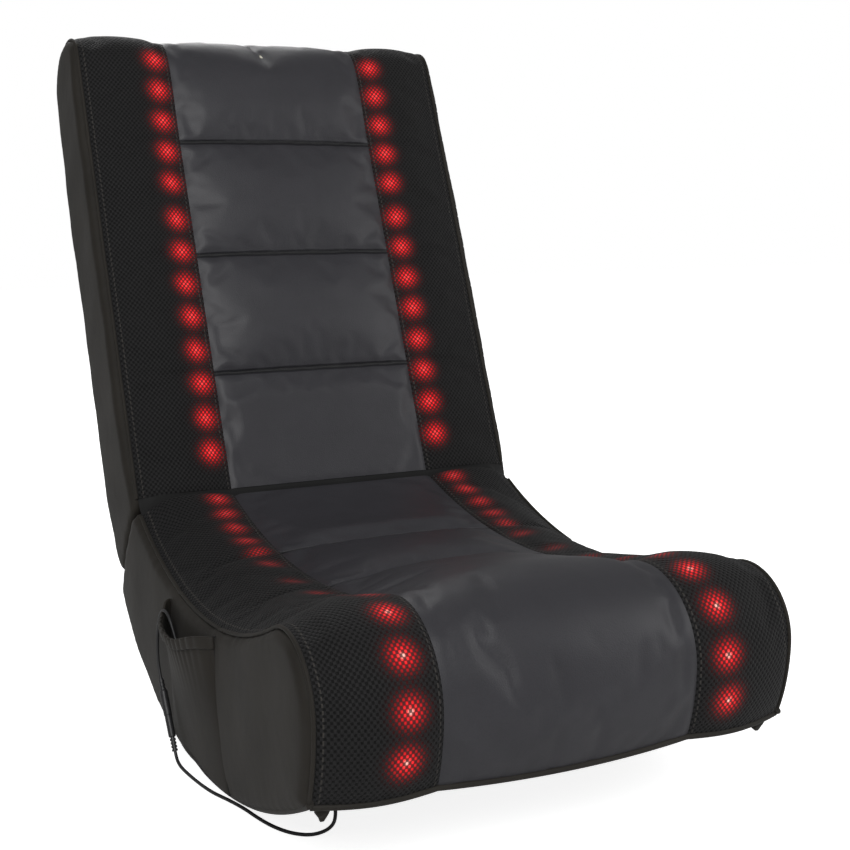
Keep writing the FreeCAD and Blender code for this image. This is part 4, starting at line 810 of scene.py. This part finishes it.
def give_points(piece, points):
    """Put changed points back into the mesh."""
    piece.data.vertices.foreach_set("co", points.astype(np.float32).ravel())
    piece.data.update()


print("melting helpers: soft_noise, melt, points_of, give_points")

# %% [markdown]
# The side panels are dull cloth over thin padding. They could be stuffed like the covers, but they
# barely bulge, so shape counts more than folds. Each solid panel is melted, then its face is let out
# a little, most far from the seams.

# %% Side panels
PANEL_SWELL = 0.004
SWELL_REACH = 0.03
PANEL_FACE = 0.208
PANEL_RIM = 0.2045


def rim_distance(points, rim):
    """How far each point is from the panel's rim, in the side view."""
    nearest = np.full(len(points), 1.0)
    for start in range(0, len(rim), 64):
        gap = np.linalg.norm(points[:, None, 1:] - rim[None, start:start + 64, 1:], axis=2).min(1)
        nearest = np.minimum(nearest, gap)
    return nearest


def side_panel(node_name, body, side):
    """A padded side panel from its solid."""
    piece = melt(node_name + "_soft", nodes[node_name], cell=0.005, rounds=5)
    points = points_of(piece)
    rim = points_of(nodes[node_name])
    rim = rim[abs(rim[:, 0]) < PANEL_RIM]
    far = rim_distance(points, rim)
    face = abs(points[:, 0]) > PANEL_FACE
    swell = PANEL_SWELL * (1.0 - np.exp(-far / SWELL_REACH)) + 0.0008 * soft_noise(points, 0.09, 5)
    points[:, 0] += side * np.where(face, swell, 0.0)
    points[:, 2] = np.maximum(points[:, 2], 0.0006)
    give_points(piece, points)
    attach(piece, body)
    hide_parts(node_name)
    return piece


for node_name, body, side in (("seat_panel_right", "base", -1), ("seat_panel_left", "base", 1),
                              ("back_panel_right", "back", -1), ("back_panel_left", "back", 1)):
    panel = side_panel(node_name, body, side)
    print(panel.name, len(panel.data.vertices), "points")

# %% [markdown]
# Every outer seam is finished with a welt, a thin roll of the same cloth, and the lower edges with a
# hem. A rolled edge could be modelled into each panel. A curve with a round section is simpler, and
# because it follows the cover's own edge points, it can't drift off the seam.

# %% Welts and hems
WELT_THICK = 0.0034
HEM_THICK = 0.0052
HEM_OUT = 0.2105
FRONT_ROCKER, REAR_ROCKER = 620.0, 380.0
FOOT_FRONT, FOOT_REAR = -43.0, 34.0
FOOT_DROP = 1.52


def welt(name, path, thickness, body, finish):
    """A thin sewn roll of cloth along a row of points in metres."""
    data = bpy.data.curves.new(name, "CURVE")
    data.dimensions = "3D"
    spline = data.splines.new("POLY")
    spline.points.add(len(path) - 1)
    for point, place in zip(spline.points, path):
        point.co = (*place, 1.0)
        point.radius = thickness / 2.0
    data.bevel_depth = 1.0
    data.bevel_resolution = 3
    data.use_fill_caps = True
    data.materials.append(finish)
    made = bpy.data.objects.new(name, data)
    bpy.context.scene.collection.objects.link(made)
    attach(made, body)


def rocker_height(y):
    """Height of the curved underside, with its flat foot."""
    if FOOT_FRONT <= y < FOOT_REAR:
        return 0.0
    radius = FRONT_ROCKER if y < FOOT_FRONT else REAR_ROCKER
    return radius - math.sqrt(radius ** 2 - y ** 2) - FOOT_DROP


rocker_line = np.array([(y, rocker_height(y)) for y in np.linspace(-306.0, 248.6, 90)])
for side, end, sign in (("right", 0, -1.0), ("left", -1, 1.0)):
    aside = [sign * 0.0012, 0.0, 0.0]
    welt(f"seat_welt_{side}", seat_stuffed[end] + aside, WELT_THICK, "base", side_finish)
    welt(f"back_welt_{side}", back_stuffed[end] + aside, WELT_THICK, "back", side_finish)
    low = [(sign * HEM_OUT, y * MM, (z + 3.0) * MM) for y, z in rocker_line]
    welt(f"base_hem_{side}", low, HEM_THICK, "base", hem_finish)
welt("front_hem", seat_stuffed[:, -1], HEM_THICK, "base", hem_finish)

# %% [markdown]
# Underneath and behind, plain lining cloth is stapled tight over the frame. It hardly needs a cloth
# simulation, so two more grids follow the side view, with a few shallow wrinkles. They are pulled
# inwards only, so that the chair still stands on its foot.

# %% Lining cloths
LINING_HALF = 209.0
HEEL_RADIUS = 42.0
HEEL_HIGH = 22.0
HEEL_TURN = math.radians(73.4)


def lining(name, line, body, node_name, inward, wrinkle, seed):
    """A stretched sheet across the chair along a line of the side view."""
    across = np.linspace(-LINING_HALF, LINING_HALF, 61)
    points = np.zeros((len(across), len(line), 3))
    points[:, :, 0] = across[:, None]
    points[:, :, 1:] = line[None]
    points *= MM
    dent = (soft_noise(points.reshape(-1, 3), 0.16, seed).reshape(points.shape[:2]) + 1.2) * wrinkle
    into = inward * normals_of(line) * MM
    points[:, :, 1:] += into[None] * dent[..., None]
    piece = grid_piece(name, points, across * MM, run_of(line) * MM, rear_finish, True)
    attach(round_off(piece), body)
    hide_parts(node_name)


lining("base_lining", rocker_line, "base", "seat_base_cloth", inward=-1.0, wrinkle=0.6, seed=11)
heel_turns = np.linspace(0.0, HEEL_TURN, 14)
rear_face = [(BACK_DEPTH, along) for along in np.linspace(504.0, -HEEL_HIGH, 70)]
heel_round = [(BACK_DEPTH - HEEL_RADIUS * (1.0 - math.cos(turn)),
               -HEEL_HIGH - HEEL_RADIUS * math.sin(turn)) for turn in heel_turns[1:]]
rear_line = back_place(*np.array(rear_face + heel_round).T)
lining("rear_lining", rear_line, "back", "back_rear_cloth", inward=1.0, wrinkle=0.5, seed=12)

# %% [markdown]
# Below the crease, seat and back meet on two flat faces, which part when the back folds forward.
# Each face gets its own thin lining, so that hardly any wood shows in the open gap. Nothing presses
# on them, so two plain flat grids, a few millimetres apart, are enough.

# %% Heel linings
PARTING = math.radians(55.6)
PARTING_GAP = 2.1
PARTING_START = 3.5
for name, body, way, reach in (("seat_heel_lining", "base", -1.0, 134.0),
                               ("back_heel_lining", "back", 1.0, 105.0)):
    down = np.linspace(PARTING_START, reach, 18)[:, None] \
        * np.array([[math.cos(PARTING), -math.sin(PARTING)]])
    face = np.array(HINGE) + down + way * PARTING_GAP * np.array([math.sin(PARTING), math.cos(PARTING)])
    across = np.linspace(-203.5, 203.5, 41)
    points = np.zeros((len(across), len(face), 3))
    points[:, :, 0], points[:, :, 1:] = across[:, None], face[None]
    heel = grid_piece(name, points * MM, across * MM, run_of(face) * MM, rear_finish, way < 0)
    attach(heel, body)
    print(name, "reaches", reach, "mm below the hinge")

# %% [markdown]
# The pocket is a pouch sewn to the side panel along three sides. An elastic hem gathers its mouth,
# so the cloth below the hem ripples and the mouth gapes open like a D. Cloth simulation would have to
# be told all of that with pins, so one function gives the pouch's shape directly: each point by its
# share of the way from rear to front, and by its height.

# %% Side pocket
POCKET_REAR, POCKET_FRONT, POCKET_TOE = 38.0, -97.0, -131.0
POCKET_FLOOR, POCKET_MOUTH = 18.0, 131.0
POCKET_FACE = -215.5
RIPPLES = 13.0


def pocket_point(share, high, lift):
    """A point of the pouch: share runs from rear to front, high from floor to mouth."""
    rear_lug = 11.0 * math.exp(-(share / 0.06) ** 2)
    mouth = POCKET_MOUTH + rear_lug + 15.0 * smooth_step((share - 0.55) / 0.45)
    front = POCKET_TOE + (POCKET_FRONT - POCKET_TOE) * high
    bow = math.sin(math.pi * min(max(share, 0.0), 1.0)) ** 0.55
    ripple = math.sin(share * 2.0 * math.pi * RIPPLES + 2.0 * math.sin(share * 9.0)) * 0.9 * high ** 6
    out = (5.0 + 17.0 * high ** 1.5) * bow + (ripple + lift) * bow
    sag = 1.5 * math.sin(high * 9.0 + share * 4.0) * bow
    return (POCKET_FACE - out, POCKET_REAR + (front - POCKET_REAR) * share,
            POCKET_FLOOR + (mouth - POCKET_FLOOR) * high + sag * (1.0 - high))


def pocket_grid(name, low, high, rows, lift, thick, finish, node_name):
    """A part of the pouch between two heights, with the cloth's own thickness."""
    shares = np.linspace(0.0, 1.0, 110)
    heights = np.linspace(low, high, rows)
    points = np.array([[pocket_point(share, height, lift) for height in heights]
                       for share in shares]) * MM
    piece = grid_piece(name, points, shares * 0.17, heights * 0.12, finish, True)
    wall = piece.modifiers.new("wall", "SOLIDIFY")
    wall.thickness = thick
    wall.offset = -1.0
    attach(round_off(piece), "base")
    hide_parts(node_name)
    return piece


pouch = pocket_grid("pocket_pouch", low=0.0, high=0.985, rows=34, lift=0.0, thick=0.0012,
                    finish=side_finish, node_name="side_pocket")
hem = pocket_grid("pocket_gathered_hem", low=0.915, high=1.0, rows=6, lift=1.2, thick=0.0028,
                  finish=hem_finish, node_name="pocket_hem")
front_edge = [[length * MM for length in pocket_point(1.0, high, 0.0)]
              for high in np.linspace(0.0, 1.0, 12)]
welt("pocket_edge_welt", front_edge, 0.0036, "base", lip_finish)
print("pocket:", len(pouch.data.polygons) + len(hem.data.polygons), "quads")

# %% [markdown]
# At the two front corners the three cloths are folded together and stapled under the seat, which
# leaves a small pinched tuck. Something this small needs no folding in code: the solid tucks are
# melted like the panels, pinched towards their lower end, and roughened to look hand-folded.

# %% Corner tucks
for side in ("left", "right"):
    tuck = melt(f"tuck_{side}", nodes[f"corner_tuck_{side}"], cell=0.0012, rounds=6)
    points = points_of(tuck)
    low, high = points.min(0), points.max(0)
    pinch = (0.25 + 0.75 * (points[:, 2] - low[2]) / (high[2] - low[2]))[:, None]
    hold = np.array([(low[0] + high[0]) / 2.0, low[1] * 0.8 + high[1] * 0.2])
    points[:, :2] = hold + (points[:, :2] - hold) * pinch
    points += 0.0006 * soft_noise(points, 0.012, 21)[:, None]
    give_points(tuck, points)
    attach(tuck, "base")
    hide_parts(f"corner_tuck_{side}")
    print(tuck.name, len(tuck.data.vertices), "points")

# %% [markdown]
# The studio is a pale floor and soft lamps. More light would whiten the background, but it would
# also wash out the dark cloth. So the white comes from what the camera alone sees: the world behind,
# and a glow in the floor. The chair itself is lit at a plain level.

# %% Floor, lamps and world
FLOOR_GLOW = 0.86
FLOOR_REACH = 6.0
WORLD_LIGHT = 0.24
floor_data = bpy.data.meshes.new("studio_floor")
floor_data.from_pydata([(x * FLOOR_REACH, y * FLOOR_REACH, 0.0)
                        for x, y in ((-1, -1), (1, -1), (1, 1), (-1, 1))], [], [(0, 1, 2, 3)])
floor = bpy.data.objects.new("studio_floor", floor_data)
floor.location.z = -0.0005
bpy.context.scene.collection.objects.link(floor)
floor_finish, tree, shader = new_finish("floor_finish", roughness=0.9)[:3]
shader.inputs["Base Color"].default_value = (0.86, 0.86, 0.86, 1.0)
shader.inputs["Emission Color"].default_value = (1.0, 1.0, 1.0, 1.0)
floor_seen = add_node(tree, "ShaderNodeLightPath").outputs["Is Camera Ray"]
tree.links.new(sums(tree, "MULTIPLY", floor_seen, FLOOR_GLOW), shader.inputs["Emission Strength"])
floor.data.materials.append(floor_finish)


def soft_lamp(name, place, aim, size, power):
    """A square area lamp that looks at a point."""
    data = bpy.data.lights.new(name, "AREA")
    data.shape = "SQUARE"
    data.size = size
    data.energy = power
    lamp = bpy.data.objects.new(name, data)
    lamp.location = place
    lamp.rotation_euler = (Vector(aim) - Vector(place)).to_track_quat("-Z", "Y").to_euler()
    bpy.context.scene.collection.objects.link(lamp)


soft_lamp("key", (-1.3, -2.0, 2.2), aim=(0.0, 0.0, 0.3), size=1.6, power=46.0)
soft_lamp("fill", (2.2, -1.4, 1.4), aim=(0.0, 0.0, 0.3), size=1.6, power=18.0)
soft_lamp("rim", (0.2, 2.4, 2.0), aim=(0.0, 0.1, 0.4), size=1.4, power=24.0)
world = bpy.data.worlds.new("studio")
world.use_nodes = True
bpy.context.scene.world = world
tree = world.node_tree
seen = add_node(tree, "ShaderNodeLightPath").outputs["Is Camera Ray"]
light = add_node(tree, "ShaderNodeMapRange", Value=seen, To_Min=WORLD_LIGHT, To_Max=1.0)
backdrop = tree.nodes["Background"]
backdrop.inputs["Color"].default_value = (1.0, 1.0, 1.0, 1.0)
tree.links.new(light.outputs["Result"], backdrop.inputs["Strength"])
bpy.context.scene.view_settings.view_transform = "Standard"
print("lamps:", len(bpy.data.lights), "world light:", WORLD_LIGHT)
